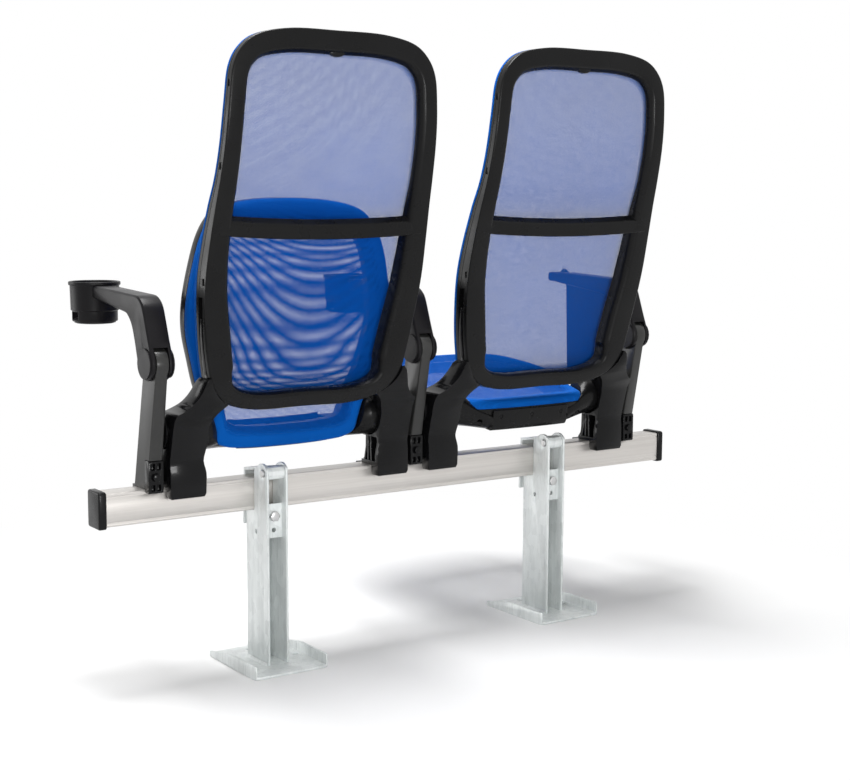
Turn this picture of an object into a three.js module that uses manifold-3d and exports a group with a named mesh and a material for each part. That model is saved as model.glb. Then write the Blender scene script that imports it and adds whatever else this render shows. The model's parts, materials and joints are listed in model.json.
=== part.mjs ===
// A two-place row of tip-up seats with mesh backs, clamped to one beam on two floor pedestals.
// Millimetres, +Z up. The seats face -Y, so +X is the sitter's left. The origin is on the floor,
// under the middle of the whole row.

import * as THREE from 'three';
import { mergeVertices } from 'three/addons/utils/BufferGeometryUtils.js';
import Module from 'manifold-3d';

const wasm = await Module();
wasm.setup();

// Row
const armSpace = 50;
const beamShift = -8;
const fitGap = 0.3;
const overrun = 3;
const weldTolerance = 0.001;

// Beam
const beamHeight = 60;
const beamDepth = 45;
const beamOverhang = 94;
const beamWall = 3;
const beamCorner = 3;
const beamUnderside = 289;
const grooveWidth = 2.4;
const grooveInset = 7;
const capThickness = 15;
const capOverlap = 3.4;
const capCorner = 5;
const capBevel = 2;
const capPlug = 18;
const capPlugWall = 3;

// Pedestals
const pedestalSpread = 653;
const channelWidth = 44;
const channelWall = 5;
const channelBend = 4;
const channelFront = 11;
const channelRear = 73;
const channelEarTop = 379;
const channelEarFront = 364;
const channelEarRear = 370;
const channelEarFrontShare = 0.45;
const channelEarRearShare = 0.72;
const tiePlateY = 52;
const tiePlateBottom = 240;
const tiePlateTop = 304;
const tiePlateHoleZ = 255;
const flangeHoleRadius = 4.5;
const flangeHoleY = 29;
const flangeHoleZ = 250;
const plateWidth = 153;
const plateDepth = 191;
const plateThickness = 5;
const plateY = 29;
const plateCorner = 10;
const plateFlange = 25;
const plateFlangeFront = 9;
const plateFlangeKinkShare = 0.52;
const plateHoleRadius = 7;
const plateHoleForward = 71;
const plateHoleSideways = 58;
const weldLeg = 5;
const strapThickness = 5;
const strapWidth = 33;
const strapEyeRadius = 13;
const strapEyeY = 58;
const strapEyeZ = 362;
const strapRise = 7;
const strapFlare = 5;
const strapBottom = 254;
const clampPinRadius = 7;
const clampPinOverhang = 4;
const clampPinChamfer = 1;
const boltRadius = 5;
const boltZ = 281;
const boltHeadAcross = 17;
const boltHeadHeight = 7;
const boltTip = 4;
const nutHeight = 8;

// Back
const backBottom = 484;
const backTop = 1142;
const backSideGap = 29;
const backLean = 127;
const backRearFoot = 84;
const backDepth = 37;
const backDepthTop = 18;
const backRimWide = 50;
const backRimNarrow = 28;
const backRimTop = 33;
const backRimBottom = 25;
const backRimDraft = 7;
const backRimBevel = 12;
const backRimRound = 4;
const hemGap = 0.6;
const backMeshEdge = 8;
const backMeshLap = 20;
const backMeshThickness = 3;
const crossBarZ = 807;
const crossBarSag = 8;
const crossBarHeight = 24;
const crossBarBevel = 12;
const crossBarDepth = 12;
const crossBarSetback = 1.5;
const lugWidth = 30;
const lugDrop = 9;
const lugDepth = 8;
const recessTop = 690;
const recessBottom = 526;
const recessDepth = 10;
const recessWidth = 16;
const recessSetback = 11;

// Seat and its hinge, with the seat level: s runs forward from the hinge axis and n up from it
const hingeY = 8;
const hingeZ = 447;
const seatUseAngle = 7.3;
const seatTipAngle = 88;
const seatHalfWidth = 211;
const seatReach = 413;
const seatTail = 44;
const seatRimBottom = 26;
const seatRimWidth = 38;
const seatRimDraft = 2;
const seatRimTop = 1.5;
const seatCrown = 3;
const seatFrontDip = 14;
const seatFrontDipShare = 0.72;
const seatMeshBottom = 1;
const seatMeshTop = 15.6;
const seatMeshMargin = 44;
const seatMeshRound = 6;
const seatMeshThickness = 3;
const seatMeshSag = 7;
const seatMeshHemShare = 0.75;
const coverHalfWidth = 96;
const coverDrop = 47;
const coverTop = 4;
const coverWall = 4;
const coverReturn = 74;
const barrelRadius = 38;
const barrelOverhang = 15;
const barrelPlay = 2;
const barrelLength = 58;
const barrelInnerS = -17;
const barrelInnerN = -26;
const barrelInnerHalfS = 30;
const barrelInnerHalfN = 21;
const barrelFlareShare = 0.5;
const barrelFlareDropShare = 0.6;
const barrelFlareHeightShare = 0.7;
const hingePinRadius = 8;
const hingePinLength = 60;

// Seat bracket, with its widths counted inward from its outer face
const bracketWidth = 104;
const bracketHeadWidth = 68;
const frontLegWidth = 53;
const bracketPlate = 22;
const bracketFront = 34;
const bracketRear = 110;
const bracketBottom = 328;
const bracketTop = 549;
const bracketThroatFront = 38;
const frontLegRear = 12;
const bracketCorner = 8;
const barrelSpace = 3;
const bracketWall = 7;
const bracketFloor = 8;
const bracketOuterWall = 10;
const bracketCavityTop = 404;
const ribThickness = 4;
const ribSetback = 2;
const tongueTop = 652;
const tongueTipWidth = 4;
const pivotCapRadius = 31;
const pivotCapThickness = 4;
const pivotCapDish = 1.5;
const pivotCapRim = 4;

// Armrest, with f counted forward from the knuckle pivot and u up from it
const knuckleY = 48;
const knuckleZ = 574;
const armReach = 241;
const armRise = 124;
const armWidth = 41;
const armBevel = 3;
const armCorner = 14;
const slotWidth = 26.5;
const slotSpare = 3;
const slotReach = 90;
const armPinRadius = 7;
const armDiscRadius = 27;
const armDiscThickness = 2.5;
const postDepth = 54;
const postLeanAngle = 11.4;
const postTopWidth = 22;
const postFootWidth = 27;
const postHeadRadius = 29;
const postBevel = 2;
const postCorner = 6;
const postLipDrop = 22;
const postLipThickness = 9;
const clampWidth = 28;
const clampDepth = 18;
const clampTop = 402;
const clampBottom = 343;
const clampRib = 4;
const clampPocket = 9;
const clampPocketMargin = 5;
const clampBoltZ = 372;
const clampBoltRadius = 4;
const clampBoltHeadAcross = 13;
const clampBoltHead = 5;
const clampBoltReach = 24;

// Cup holder, on the armrest
const cupAhead = 29;
const cupAbove = 6;
const cupHeight = 78;
const cupRimRadius = 48;
const cupRimHeight = 7;
const cupRadius = 45.5;
const cupWall = 3;
const cupTaper = 1;
const cupStepHeight = 24;
const cupLowerRadius = 42;
const cupBaseRadius = 38;
const cupBaseHeight = 4;
const cupWindowWidth = 30;
const cupWindowHeight = 15;

// Writing tablet, on the outer side of the sitter's right armrest
const tabletLength = 202;
const tabletHeight = 249;
const tabletAhead = 14;
const tabletBelow = 9;
const tabletTaper = 9;
const tabletThickness = 10;
const tabletCorner = 22;
const tabletBevel = 1.5;
const tabletStandoff = 4;
const tabletPivotAhead = 12;
const tabletPivotBelow = 3;
const tabletBossRadius = 10;
const tabletBossHeight = 4;
const tabletBossSeat = 6;
const tabletNoseAhead = 24;
const tabletNoseCorner = 6;
const tabletPinRadius = 4;
const tabletPinDepth = 16;
const tabletPinHeight = 2;
const tabletSweep = 60;

// Facets
const cornerLimitShare = 0.38;
const outlineStations = 60;
const seatStations = 44;
const cornerFacets = 2;
const armCornerFacets = 3;
const discFacets = 20;
const rodFacets = 10;
const barFacets = 6;
const sheetRows = 10;
const sheetColumns = 4;
const blockRows = 8;

// Sizes that follow
const beamTop = beamUnderside + beamHeight;
const beamMiddle = beamUnderside + beamHeight / 2;
const beamRear = beamDepth / 2;
const backHeight = backTop - backBottom;
const barrelOuter = seatHalfWidth + barrelOverhang;
const barrelFlareStart = barrelOuter - barrelLength;
const plateInner = barrelOuter + barrelPlay;
const bracketOuter = plateInner + bracketPlate;
const bracketInner = bracketOuter - bracketHeadWidth;
const bracketThroatInner = bracketOuter - bracketWidth;
const frontLegInner = bracketOuter - frontLegWidth;
const hingePinInner = bracketOuter - hingePinLength;
const backHalfWidth = bracketOuter - backSideGap;
const seatPitch = 2 * bracketOuter + armSpace;
const beamLength = 2 * (seatPitch + beamOverhang);
const armHalf = armWidth / 2;
const cupForward = armReach + cupAhead;
const cupTop = armRise + cupAbove;
const tabletFront = armReach + tabletAhead;
const tabletRear = tabletFront - tabletLength;
const tabletTop = armRise - tabletBelow;
const tabletBottom = tabletTop - tabletHeight;
const tabletPivotForward = armReach + tabletPivotAhead;
const tabletPivotUp = armRise - tabletPivotBelow;
const tabletNoseReach = armReach + tabletNoseAhead;

// Outline shares: of the half width and of the height, up one side from the middle of the bottom
const backOutlineShares = [
  [0, 0], [0.45, 0], [0.68, 0.017], [0.81, 0.045], [0.885, 0.084], [0.925, 0.138],
  [0.98, 0.267], [1, 0.359], [0.992, 0.46], [0.962, 0.632], [0.936, 0.815], [0.906, 0.9],
  [0.842, 0.942], [0.72, 0.976], [0.45, 0.997], [0, 1],
];
// Shares of the height and of the lean, for the rear surface seen from the side
const backRearShares = [
  [0, 0], [0.085, 0.15], [0.176, 0.225], [0.359, 0.417], [0.541, 0.654], [0.632, 0.79],
  [0.723, 0.897], [0.815, 0.957], [1, 1],
];
// Shares of the height and of the change from the lower depth to the upper one
const backDepthShares = [[0, 0], [0.36, 0.04], [0.541, 0.45], [0.66, 0.88], [1, 1]];
// Shares of the height and of the change from the rim's lower width to its upper one
const backRimShares = [[0, 0], [0.17, 0.05], [0.34, 0.42], [0.55, 0.8], [0.78, 1], [1, 1]];
// Shares of the half width and of the length behind or ahead of the hinge axis
const seatTailShares = [[0, -1], [0.42, -0.95], [0.6, -0.84], [0.69, -0.6], [0.725, -0.05]];
const seatOutlineShares = [
  [0.765, 0.07], [0.86, 0.165], [0.935, 0.3], [0.99, 0.42], [1, 0.52], [0.965, 0.66],
  [0.885, 0.82], [0.8, 0.9], [0.7, 0.95], [0.48, 0.985], [0, 1],
];
// Shares of the bracket's depth and height, round its side, from the foot's rear corner
const bracketSideShares = [
  [0.5625, 0], [0.5625, 0.226], [0.542, 0.303], [0.611, 0.471], [0.674, 0.62], [0.819, 0.756],
  [0.944, 0.878], [1, 1], [0.708, 1], [0.611, 0.887], [0.5, 0.792], [0.292, 0.697],
  [0.111, 0.661], [0.049, 0.538], [0.083, 0.394], [0.076, 0.2], [0.06, 0.14], [0, 0.1], [0, 0.018],
];
// Shares of the width from the throat's inner edge to the outer face, and of the height
const bracketFaceShares = [
  [0.346, 0], [1, 0], [1, 0.701], [0.9, 0.72], [0.77, 0.77], [0.67, 0.845], [0.56, 1], [0, 1],
  [0, 0.8], [0.25, 0.688], [0.346, 0.575], [0.327, 0.46], [0.385, 0.3], [0.33, 0.2],
];
// Shares of the armrest's reach and rise, round its side, from the top front corner
const armShares = [
  [0.975, 1], [0.116, 0.935], [0.033, 0.815], [-0.058, 0.347], [-0.124, 0.04], [-0.112, -0.14],
  [-0.012, -0.262], [0.1, -0.19], [0.15, 0.05], [0.178, 0.242], [0.232, 0.516], [0.32, 0.669],
  [0.56, 0.726], [1.04, 0.835],
];

// Materials
function finish(color, roughness, metalness) {
  return new THREE.MeshStandardMaterial({ color, roughness, metalness });
}
const aluminium = finish(0xc9c6c1, 0.38, 1);
const zinc = finish(0xc3cac8, 0.45, 1);
const glossBlack = finish(0x16161a, 0.22, 0);
const matteBlack = finish(0x222224, 0.6, 0);
const postGrey = finish(0x4a4a4b, 0.42, 0.3);
const armBlack = finish(0x2a2a2b, 0.5, 0);
const blueMesh = finish(0x1b4f9e, 0.85, 0);
const steel = finish(0x9a9c9e, 0.35, 1);

// Basic shapes
const basisX = new THREE.Matrix4().makeBasis(
  new THREE.Vector3(0, 1, 0), new THREE.Vector3(0, 0, 1), new THREE.Vector3(1, 0, 0));
const basisY = new THREE.Matrix4().makeBasis(
  new THREE.Vector3(1, 0, 0), new THREE.Vector3(0, 0, 1), new THREE.Vector3(0, -1, 0));

// Corners are replaced by curves that start the given distance from them.
function roundedShape(points, radius) {
  const corners = points.map(([a, b]) => new THREE.Vector2(a, b));
  const shape = new THREE.Shape();
  corners.forEach((corner, i) => {
    const before = corners.at(i - 1);
    const after = corners[(i + 1) % corners.length];
    const start = stepToward(corner, before, radius);
    const end = stepToward(corner, after, radius);
    if (i === 0) shape.moveTo(start.x, start.y);
    else shape.lineTo(start.x, start.y);
    shape.quadraticCurveTo(corner.x, corner.y, end.x, end.y);
  });
  shape.closePath();
  return shape;
}

function stepToward(corner, other, radius) {
  const length = corner.distanceTo(other);
  return corner.clone().lerp(other, Math.min(radius / length, cornerLimitShare));
}

function plainShape(points) {
  return new THREE.Shape(points.map(([a, b]) => new THREE.Vector2(a, b)));
}

function rectanglePoints(width, height, x = 0, y = 0) {
  return [
    [x - width / 2, y - height / 2], [x + width / 2, y - height / 2],
    [x + width / 2, y + height / 2], [x - width / 2, y + height / 2],
  ];
}

function extrude(shape, from, to, bevel, facets) {
  const geometry = new THREE.ExtrudeGeometry(shape, {
    depth: to - from - 2 * bevel,
    bevelEnabled: bevel > 0,
    bevelThickness: bevel,
    bevelSize: bevel,
    bevelOffset: -bevel,
    bevelSegments: 1,
    curveSegments: facets,
  });
  return geometry.translate(0, 0, from + bevel);
}

// The shape's axes are Y and Z
function extrudeX(shape, from, to, bevel = 0, facets = cornerFacets) {
  return extrude(shape, from, to, bevel, facets).applyMatrix4(basisX);
}

// The shape's axes are X and Z
function extrudeY(shape, from, to, bevel = 0, facets = cornerFacets) {
  return extrude(shape, -to, -from, bevel, facets).applyMatrix4(basisY);
}

// The shape's axes are X and Y
function extrudeZ(shape, from, to, bevel = 0, facets = cornerFacets) {
  return extrude(shape, from, to, bevel, facets);
}

function block(x0, x1, y0, y1, z0, z1) {
  const geometry = new THREE.BoxGeometry(x1 - x0, y1 - y0, z1 - z0);
  return geometry.translate((x0 + x1) / 2, (y0 + y1) / 2, (z0 + z1) / 2);
}

// The radius of a faceted hole that clears a faceted pin at any turn
function boreFor(pinRadius) {
  return (pinRadius + fitGap / 2) / Math.cos(Math.PI / rodFacets);
}

function rodX(radius, x0, x1, y, z, facets = rodFacets) {
  const geometry = new THREE.CylinderGeometry(radius, radius, x1 - x0, facets);
  return geometry.rotateZ(Math.PI / 2).translate((x0 + x1) / 2, y, z);
}

function rodY(radius, y0, y1, x, z, facets = rodFacets) {
  const geometry = new THREE.CylinderGeometry(radius, radius, y1 - y0, facets);
  return geometry.translate(x, (y0 + y1) / 2, z);
}

function rodZ(radius, z0, z1, x, y, facets = rodFacets) {
  const geometry = new THREE.CylinderGeometry(radius, radius, z1 - z0, facets);
  return geometry.rotateX(Math.PI / 2).translate(x, y, (z0 + z1) / 2);
}

// A closed body through rings of points, capped by the triangles of its flat contour
function loft(rings, contour) {
  const count = rings[0].length;
  const index = wallIndex(rings.length - 1, rings.length, count);
  const last = (rings.length - 1) * count;
  const clockwise = THREE.ShapeUtils.isClockWise(contour);
  for (const [a, b, c] of THREE.ShapeUtils.triangulateShape(contour, [])) {
    const near = clockwise ? [a, b, c] : [c, b, a];
    index.push(...near, ...near.map((i) => last + i).reverse());
  }
  return indexed(rings, index);
}

// A ring-shaped body: the stations follow each other round and the last meets the first
function ringBody(stations) {
  return indexed(stations, wallIndex(stations.length, stations.length, stations[0].length));
}

function wallIndex(spans, ringCount, count) {
  const index = [];
  for (let i = 0; i < spans; i += 1) {
    const near = i * count;
    const far = ((i + 1) % ringCount) * count;
    for (let j = 0; j < count; j += 1) {
      const next = (j + 1) % count;
      index.push(near + j, far + next, far + j, near + j, near + next, far + next);
    }
  }
  return index;
}

function indexed(rings, index) {
  const geometry = new THREE.BufferGeometry();
  const places = rings.flat().flatMap((point) => [point.x, point.y, point.z]);
  geometry.setAttribute('position', new THREE.Float32BufferAttribute(places, 3));
  geometry.setIndex(index);
  return turnedOut(geometry);
}

// Joining and cutting
function signedVolume(geometry) {
  const place = geometry.attributes.position;
  const index = geometry.index;
  const corner = [new THREE.Vector3(), new THREE.Vector3(), new THREE.Vector3()];
  let total = 0;
  for (let i = 0; i < index.count; i += 3) {
    corner.forEach((point, j) => point.fromBufferAttribute(place, index.getX(i + j)));
    total += corner[0].dot(corner[1].cross(corner[2]));
  }
  return total;
}

function turnedOut(geometry) {
  const plain = geometry.clone();
  plain.deleteAttribute('normal');
  plain.deleteAttribute('uv');
  const merged = mergeVertices(plain, weldTolerance);
  if (signedVolume(merged) < 0) merged.setIndex([...merged.index.array].reverse());
  return merged;
}

function toSolid(geometry) {
  const merged = turnedOut(geometry);
  return new wasm.Manifold(new wasm.Mesh({
    numProp: 3,
    vertProperties: Float32Array.from(merged.attributes.position.array),
    triVerts: Uint32Array.from(merged.index.array),
  }));
}

function toGeometry(solid) {
  const mesh = solid.getMesh();
  const geometry = new THREE.BufferGeometry();
  geometry.setAttribute('position', new THREE.BufferAttribute(mesh.vertProperties, 3));
  geometry.setIndex(new THREE.BufferAttribute(mesh.triVerts, 1));
  return geometry;
}

function join(...geometries) {
  return toGeometry(geometries.map(toSolid).reduce((a, b) => a.add(b)));
}

function cut(geometry, ...tools) {
  return toGeometry(tools.map(toSolid).reduce((a, b) => a.subtract(b), toSolid(geometry)));
}

function common(a, b) {
  return toGeometry(toSolid(a).intersect(toSolid(b)));
}

function mirrored(geometry) {
  return turnedOut(geometry.clone().scale(-1, 1, 1));
}

// Curves through shares
function mix(a, b, share) {
  return a + (b - a) * share;
}

function shareCurve(shares) {
  return new THREE.CatmullRomCurve3(shares.map(([a, b]) => new THREE.Vector3(a, b, 0)));
}

// The second coordinate where the curve's first coordinate has the given value
function curveAt(samples, value) {
  const i = samples.findIndex((point) => point.x >= value);
  if (i <= 0) return i === 0 ? samples[0].y : samples.at(-1).y;
  const [low, high] = [samples[i - 1], samples[i]];
  return mix(low.y, high.y, (value - low.x) / (high.x - low.x));
}

// A closed symmetric outline from the points up one side, with the inward direction at each
function symmetricOutline(halfPoints, stations) {
  const right = halfPoints.map(([a, b]) => new THREE.Vector3(a, b, 0));
  const left = halfPoints.slice(1, -1).reverse().map(([a, b]) => new THREE.Vector3(-a, b, 0));
  const curve = new THREE.CatmullRomCurve3([...right, ...left], true);
  return Array.from({ length: stations }, (_, i) => {
    const tangent = curve.getTangent(i / stations);
    return { at: curve.getPoint(i / stations), inward: new THREE.Vector2(-tangent.y, tangent.x) };
  });
}

// Half the outline's width at a height between its ends
function halfWidthAt(outline, value) {
  const half = outline.slice(0, outline.length / 2 + 1);
  const i = half.findIndex(({ at }) => at.y > value);
  if (i <= 0) return half.at(i).at.x;
  const [low, high] = [half[i - 1].at, half[i].at];
  return mix(low.x, high.x, (value - low.y) / (high.y - low.y));
}

// Beam
function beamBody() {
  const half = beamLength / 2;
  const outer = extrudeX(
    roundedShape(rectanglePoints(beamDepth, beamHeight, 0, beamMiddle), beamCorner), -half, half);
  const inner = rectanglePoints(
    beamDepth - 2 * beamWall, beamHeight - 2 * beamWall, 0, beamMiddle);
  const bore = extrudeX(roundedShape(inner, beamCorner), -half - overrun, half + overrun);
  const grooves = [beamUnderside + grooveInset, beamTop - grooveInset].map((z) => extrudeX(
    plainShape([
      [beamRear + overrun, z - overrun - grooveWidth / 2],
      [beamRear + overrun, z + overrun + grooveWidth / 2], [beamRear - grooveWidth / 2, z],
    ]), -half - overrun, half + overrun));
  return cut(outer, bore, ...grooves);
}

function beamCap() {
  const start = beamLength / 2 + fitGap;
  const plate = extrudeX(roundedShape(
    rectanglePoints(beamDepth + 2 * capOverlap, beamHeight + 2 * capOverlap, 0, beamMiddle),
    capCorner), start, start + capThickness, capBevel);
  const inset = 2 * (beamWall + fitGap);
  const plug = extrudeX(roundedShape(
    rectanglePoints(beamDepth - inset, beamHeight - inset, 0, beamMiddle), beamCorner),
  start - capPlug, start + overrun);
  const deeper = inset + 2 * capPlugWall;
  const hollow = extrudeX(plainShape(
    rectanglePoints(beamDepth - deeper, beamHeight - deeper, 0, beamMiddle)),
  start - capPlug - overrun, start);
  return cut(join(plate, plug), hollow);
}

// Pedestal
function pedestalChannel() {
  const half = channelWidth / 2;
  const inner = half - channelWall;
  const plan = roundedShape([
    [-half, -channelFront], [half, -channelFront], [half, channelRear], [inner, channelRear],
    [inner, channelWall - channelFront], [-inner, channelWall - channelFront],
    [-inner, channelRear], [-half, channelRear],
  ], channelBend);
  const upright = extrudeZ(plan, plateThickness + fitGap, channelEarTop + overrun);
  const earFront = beamRear + 2 * fitGap;
  const side = roundedShape([
    [-channelFront - overrun, 0], [channelRear + overrun, 0],
    [channelRear, channelEarRear],
    [mix(earFront, channelRear, channelEarRearShare), channelEarTop],
    [mix(earFront, channelRear, channelEarFrontShare), channelEarTop], [earFront, channelEarFront],
    [earFront, beamUnderside - fitGap], [-channelFront - overrun, beamUnderside - fitGap],
  ], channelBend);
  const trimmed = common(upright, extrudeX(side, -half - overrun, half + overrun));
  const tiePlate = block(
    -inner - channelWall / 2, inner + channelWall / 2, tiePlateY, tiePlateY + channelWall,
    tiePlateBottom, tiePlateTop);
  const across = [-half - overrun, half + overrun];
  return cut(
    join(trimmed, tiePlate),
    rodX(flangeHoleRadius, ...across, flangeHoleY, flangeHoleZ),
    rodX(boreFor(clampPinRadius), ...across, strapEyeY, strapEyeZ),
    rodY(boreFor(boltRadius), -channelFront - overrun, channelRear, 0, boltZ),
    rodY(flangeHoleRadius, tiePlateY - overrun, channelRear, 0, tiePlateHoleZ),
  );
}

function basePlate() {
  const front = plateY - plateDepth / 2;
  const rear = plateY + plateDepth / 2;
  const half = plateWidth / 2;
  const plan = roundedShape(rectanglePoints(plateWidth, plateDepth, 0, plateY), plateCorner);
  const kink = mix(rear, front, plateFlangeKinkShare);
  const flange = roundedShape([
    [front, 0], [rear, 0], [rear, plateFlange], [kink, plateFlange], [front, plateFlangeFront],
  ], plateThickness);
  const outline = extrudeZ(plan, 0, plateFlange + overrun);
  const wings = [-1, 1].map((side) => {
    const edge = side * half;
    const inner = edge - side * plateThickness;
    return common(extrudeX(flange, Math.min(edge, inner), Math.max(edge, inner)), outline);
  });
  const beads = [-1, 1].map((side) => weldBead(side));
  const holes = [[0, plateY - plateHoleForward], [plateHoleSideways, plateY],
    [-plateHoleSideways, plateY]].map(([x, y]) => rodZ(
    plateHoleRadius, -overrun, plateFlange, x, y));
  return cut(join(extrudeZ(plan, 0, plateThickness), ...wings, ...beads), ...holes);
}

function weldBead(side) {
  const foot = side * (channelWidth / 2 + fitGap);
  const toe = foot + side * weldLeg;
  const section = plainShape([
    [foot, plateThickness - fitGap], [toe, plateThickness - fitGap], [foot, plateThickness + weldLeg],
  ]);
  return extrudeY(section, channelBend - channelFront, channelRear - channelBend);
}

function clampStrap() {
  const half = strapWidth / 2;
  const inner = beamRear + fitGap;
  const corner = beamTop + strapRise;
  const eyeTop = strapEyeZ + strapEyeRadius;
  const arm = extrudeX(plainShape([
    [strapEyeY, eyeTop], [-inner - strapThickness, corner + strapThickness],
    [-inner - strapThickness - strapFlare, strapBottom], [-inner - strapFlare, strapBottom],
    [-inner, beamTop - beamCorner], [-inner, corner], [strapEyeY, eyeTop - strapThickness],
  ]), -half, half);
  const eye = rodX(strapEyeRadius, -half, half, strapEyeY, strapEyeZ);
  const pinHole = rodX(
    boreFor(clampPinRadius), -half - overrun, half + overrun, strapEyeY, strapEyeZ);
  const boltHole = rodY(boreFor(boltRadius), -beamHeight, 0, 0, boltZ);
  return cut(join(arm, eye), pinHole, boltHole);
}

function clampPin() {
  const half = channelWidth / 2 + clampPinOverhang;
  const profile = [
    [0, -half], [clampPinRadius - clampPinChamfer, -half], [clampPinRadius, clampPinChamfer - half],
    [clampPinRadius, half - clampPinChamfer], [clampPinRadius - clampPinChamfer, half], [0, half],
  ].map(([radius, x]) => new THREE.Vector2(radius, x));
  const pin = new THREE.LatheGeometry(profile, rodFacets);
  return pin.rotateZ(Math.PI / 2).translate(0, strapEyeY, strapEyeZ);
}

function hexagon(across, z) {
  const corners = 6;
  const radius = across / (2 * Math.cos(Math.PI / corners));
  return plainShape(Array.from({ length: corners }, (_, i) => {
    const turn = (2 * Math.PI * i) / corners;
    return [radius * Math.cos(turn), z + radius * Math.sin(turn)];
  }));
}

const strapFace = -beamRear - fitGap - strapThickness - strapFlare;

function clampBolt() {
  const face = tiePlateY + channelWall + fitGap;
  const head = extrudeY(hexagon(boltHeadAcross, boltZ), face, face + boltHeadHeight);
  const tip = strapFace - nutHeight - boltTip;
  return join(head, rodY(boltRadius, tip, face + overrun, 0, boltZ));
}

function clampNut() {
  const end = strapFace - fitGap;
  const start = end - nutHeight;
  const body = extrudeY(hexagon(boltHeadAcross, boltZ), start, end);
  return cut(body, rodY(boreFor(boltRadius), start - overrun, end + overrun, 0, boltZ));
}

// Back
const backOutline = symmetricOutline(
  backOutlineShares.map(([w, h]) => [w * backHalfWidth, backBottom + h * backHeight]),
  outlineStations);
const backRearSamples = shareCurve(backRearShares).getPoints(outlineStations);
const backDepthSamples = shareCurve(backDepthShares).getPoints(outlineStations);
const backRimSamples = shareCurve(backRimShares).getPoints(outlineStations);

function backRear(z) {
  return backRearFoot + backLean * curveAt(backRearSamples, (z - backBottom) / backHeight);
}

function backDepthAt(z) {
  const share = curveAt(backDepthSamples, (z - backBottom) / backHeight);
  return mix(backDepth, backDepthTop, share);
}

function backFront(z) {
  return backRear(z) - backDepthAt(z);
}

function rimWidth({ at, inward }) {
  const height = (at.y - backBottom) / backHeight;
  const side = mix(backRimWide, backRimNarrow, curveAt(backRimSamples, height));
  return mix(side, mix(backRimBottom, backRimTop, height), Math.abs(inward.y));
}

// A point of the rim: w inward from the outline and d forward from the rear surface
function rimPoint({ at, inward }, w, d) {
  const z = at.y + inward.y * w;
  return new THREE.Vector3(at.x + inward.x * w, backRear(z) - d, z);
}

function backRim() {
  return ringBody(backOutline.map((station) => {
    const width = rimWidth(station);
    const depth = backDepthAt(station.at.y);
    return [
      rimPoint(station, 0, backRimRound), rimPoint(station, backRimRound, 0),
      rimPoint(station, width, 0), rimPoint(station, width + backRimDraft, backRimBevel),
      rimPoint(station, width + backRimDraft, depth), rimPoint(station, 0, depth),
    ];
  }));
}

function crossBar() {
  const reach = halfWidthAt(backOutline, crossBarZ) - backRimNarrow / 2;
  const rings = Array.from({ length: barFacets + 1 }, (_, i) => {
    const share = (2 * i) / barFacets - 1;
    const z = crossBarZ - crossBarSag * (1 - share * share);
    const y = backRear(crossBarZ) - crossBarSetback;
    const half = crossBarHeight / 2;
    return [
      [y, z - half], [y, z + half], [y - crossBarDepth, z + half + crossBarBevel],
      [y - crossBarDepth, z - half],
    ].map(([a, b]) => new THREE.Vector3(share * reach, a, b));
  });
  return loft(rings, rings[0].map((point) => new THREE.Vector2(point.y, point.z)));
}

function topLug() {
  const inner = backTop - backRimTop - backRimDraft / 2;
  const rear = backRear(inner) - backRimBevel / 2;
  const radius = lugWidth / 2;
  const disc = rodY(radius, rear - lugDepth, rear, 0, 0);
  return disc.scale(1, 1, (2 * lugDrop) / lugWidth).translate(0, 0, inner + overrun / 2);
}

// The recess in the rim's side that takes the bracket's tongue
function recessBody(side) {
  const rings = Array.from({ length: blockRows + 1 }, (_, i) => {
    const z = mix(recessBottom, recessTop, i / blockRows);
    const half = halfWidthAt(backOutline, z);
    const inner = half - recessDepth;
    const outer = half + backRimWide;
    const rear = backRear(z) - recessSetback;
    const front = rear - recessWidth;
    return [[inner, rear], [outer, rear], [outer, front], [inner, front]]
      .map(([x, y]) => new THREE.Vector3(side * x, y, z));
  });
  return loft(rings, rings[0].map((point) => new THREE.Vector2(point.x, point.y)));
}

function backFrame() {
  const body = join(backRim(), crossBar(), topLug());
  return cut(body, recessBody(-1), recessBody(1));
}

// A point the given distance ahead of the rim's front face, w inward from the outline
function rimFront(station, w, ahead) {
  const depth = backDepthAt(station.at.y);
  const width = rimWidth(station) + backRimDraft;
  const point = rimPoint(station, 0, depth).lerp(rimPoint(station, width, depth), w / width);
  return point.setY(point.y - ahead);
}

function backMesh() {
  const hem = ringBody(backOutline.map((station) => [
    rimFront(station, 0, hemGap), rimFront(station, backMeshLap, hemGap),
    rimFront(station, backMeshLap, backMeshEdge),
    rimFront(station, backMeshEdge / 4, backMeshEdge),
  ]));
  const margin = backMeshLap / 2;
  const rings = Array.from({ length: sheetRows + 1 }, (_, i) => {
    const z = mix(backBottom + margin, backTop - margin, i / sheetRows);
    const half = halfWidthAt(backOutline, z) - margin;
    const front = backFront(z) - backMeshEdge;
    const rear = front + backMeshThickness;
    return [[-half, rear], [half, rear], [half, front], [-half, front]]
      .map(([x, y]) => new THREE.Vector3(x, y, z));
  });
  return join(hem, loft(rings, rings[0].map((point) => new THREE.Vector2(point.x, point.y))));
}

// Seat, built level with its hinge axis at the origin and its front toward -Y
const seatHalfLength = (seatReach + seatTail) / 2;
const seatMiddle = seatReach - seatHalfLength;

// Each step inward leads toward the seat's middle and narrows the plan by its length all round
const seatOutline = symmetricOutline([
  ...seatTailShares.map(([w, s]) => [w * seatHalfWidth, s * seatTail]),
  ...seatOutlineShares.map(([w, s]) => [w * seatHalfWidth, s * seatReach]),
], seatStations).map(({ at }) => ({
  at, inward: new THREE.Vector2(-at.x / seatHalfWidth, (seatMiddle - at.y) / seatHalfLength),
}));

// How far a place lies along the seat, from -1 at its rear end to 1 at its front end
function alongSeat(s) {
  return (s - seatMiddle) / seatHalfLength;
}

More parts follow.
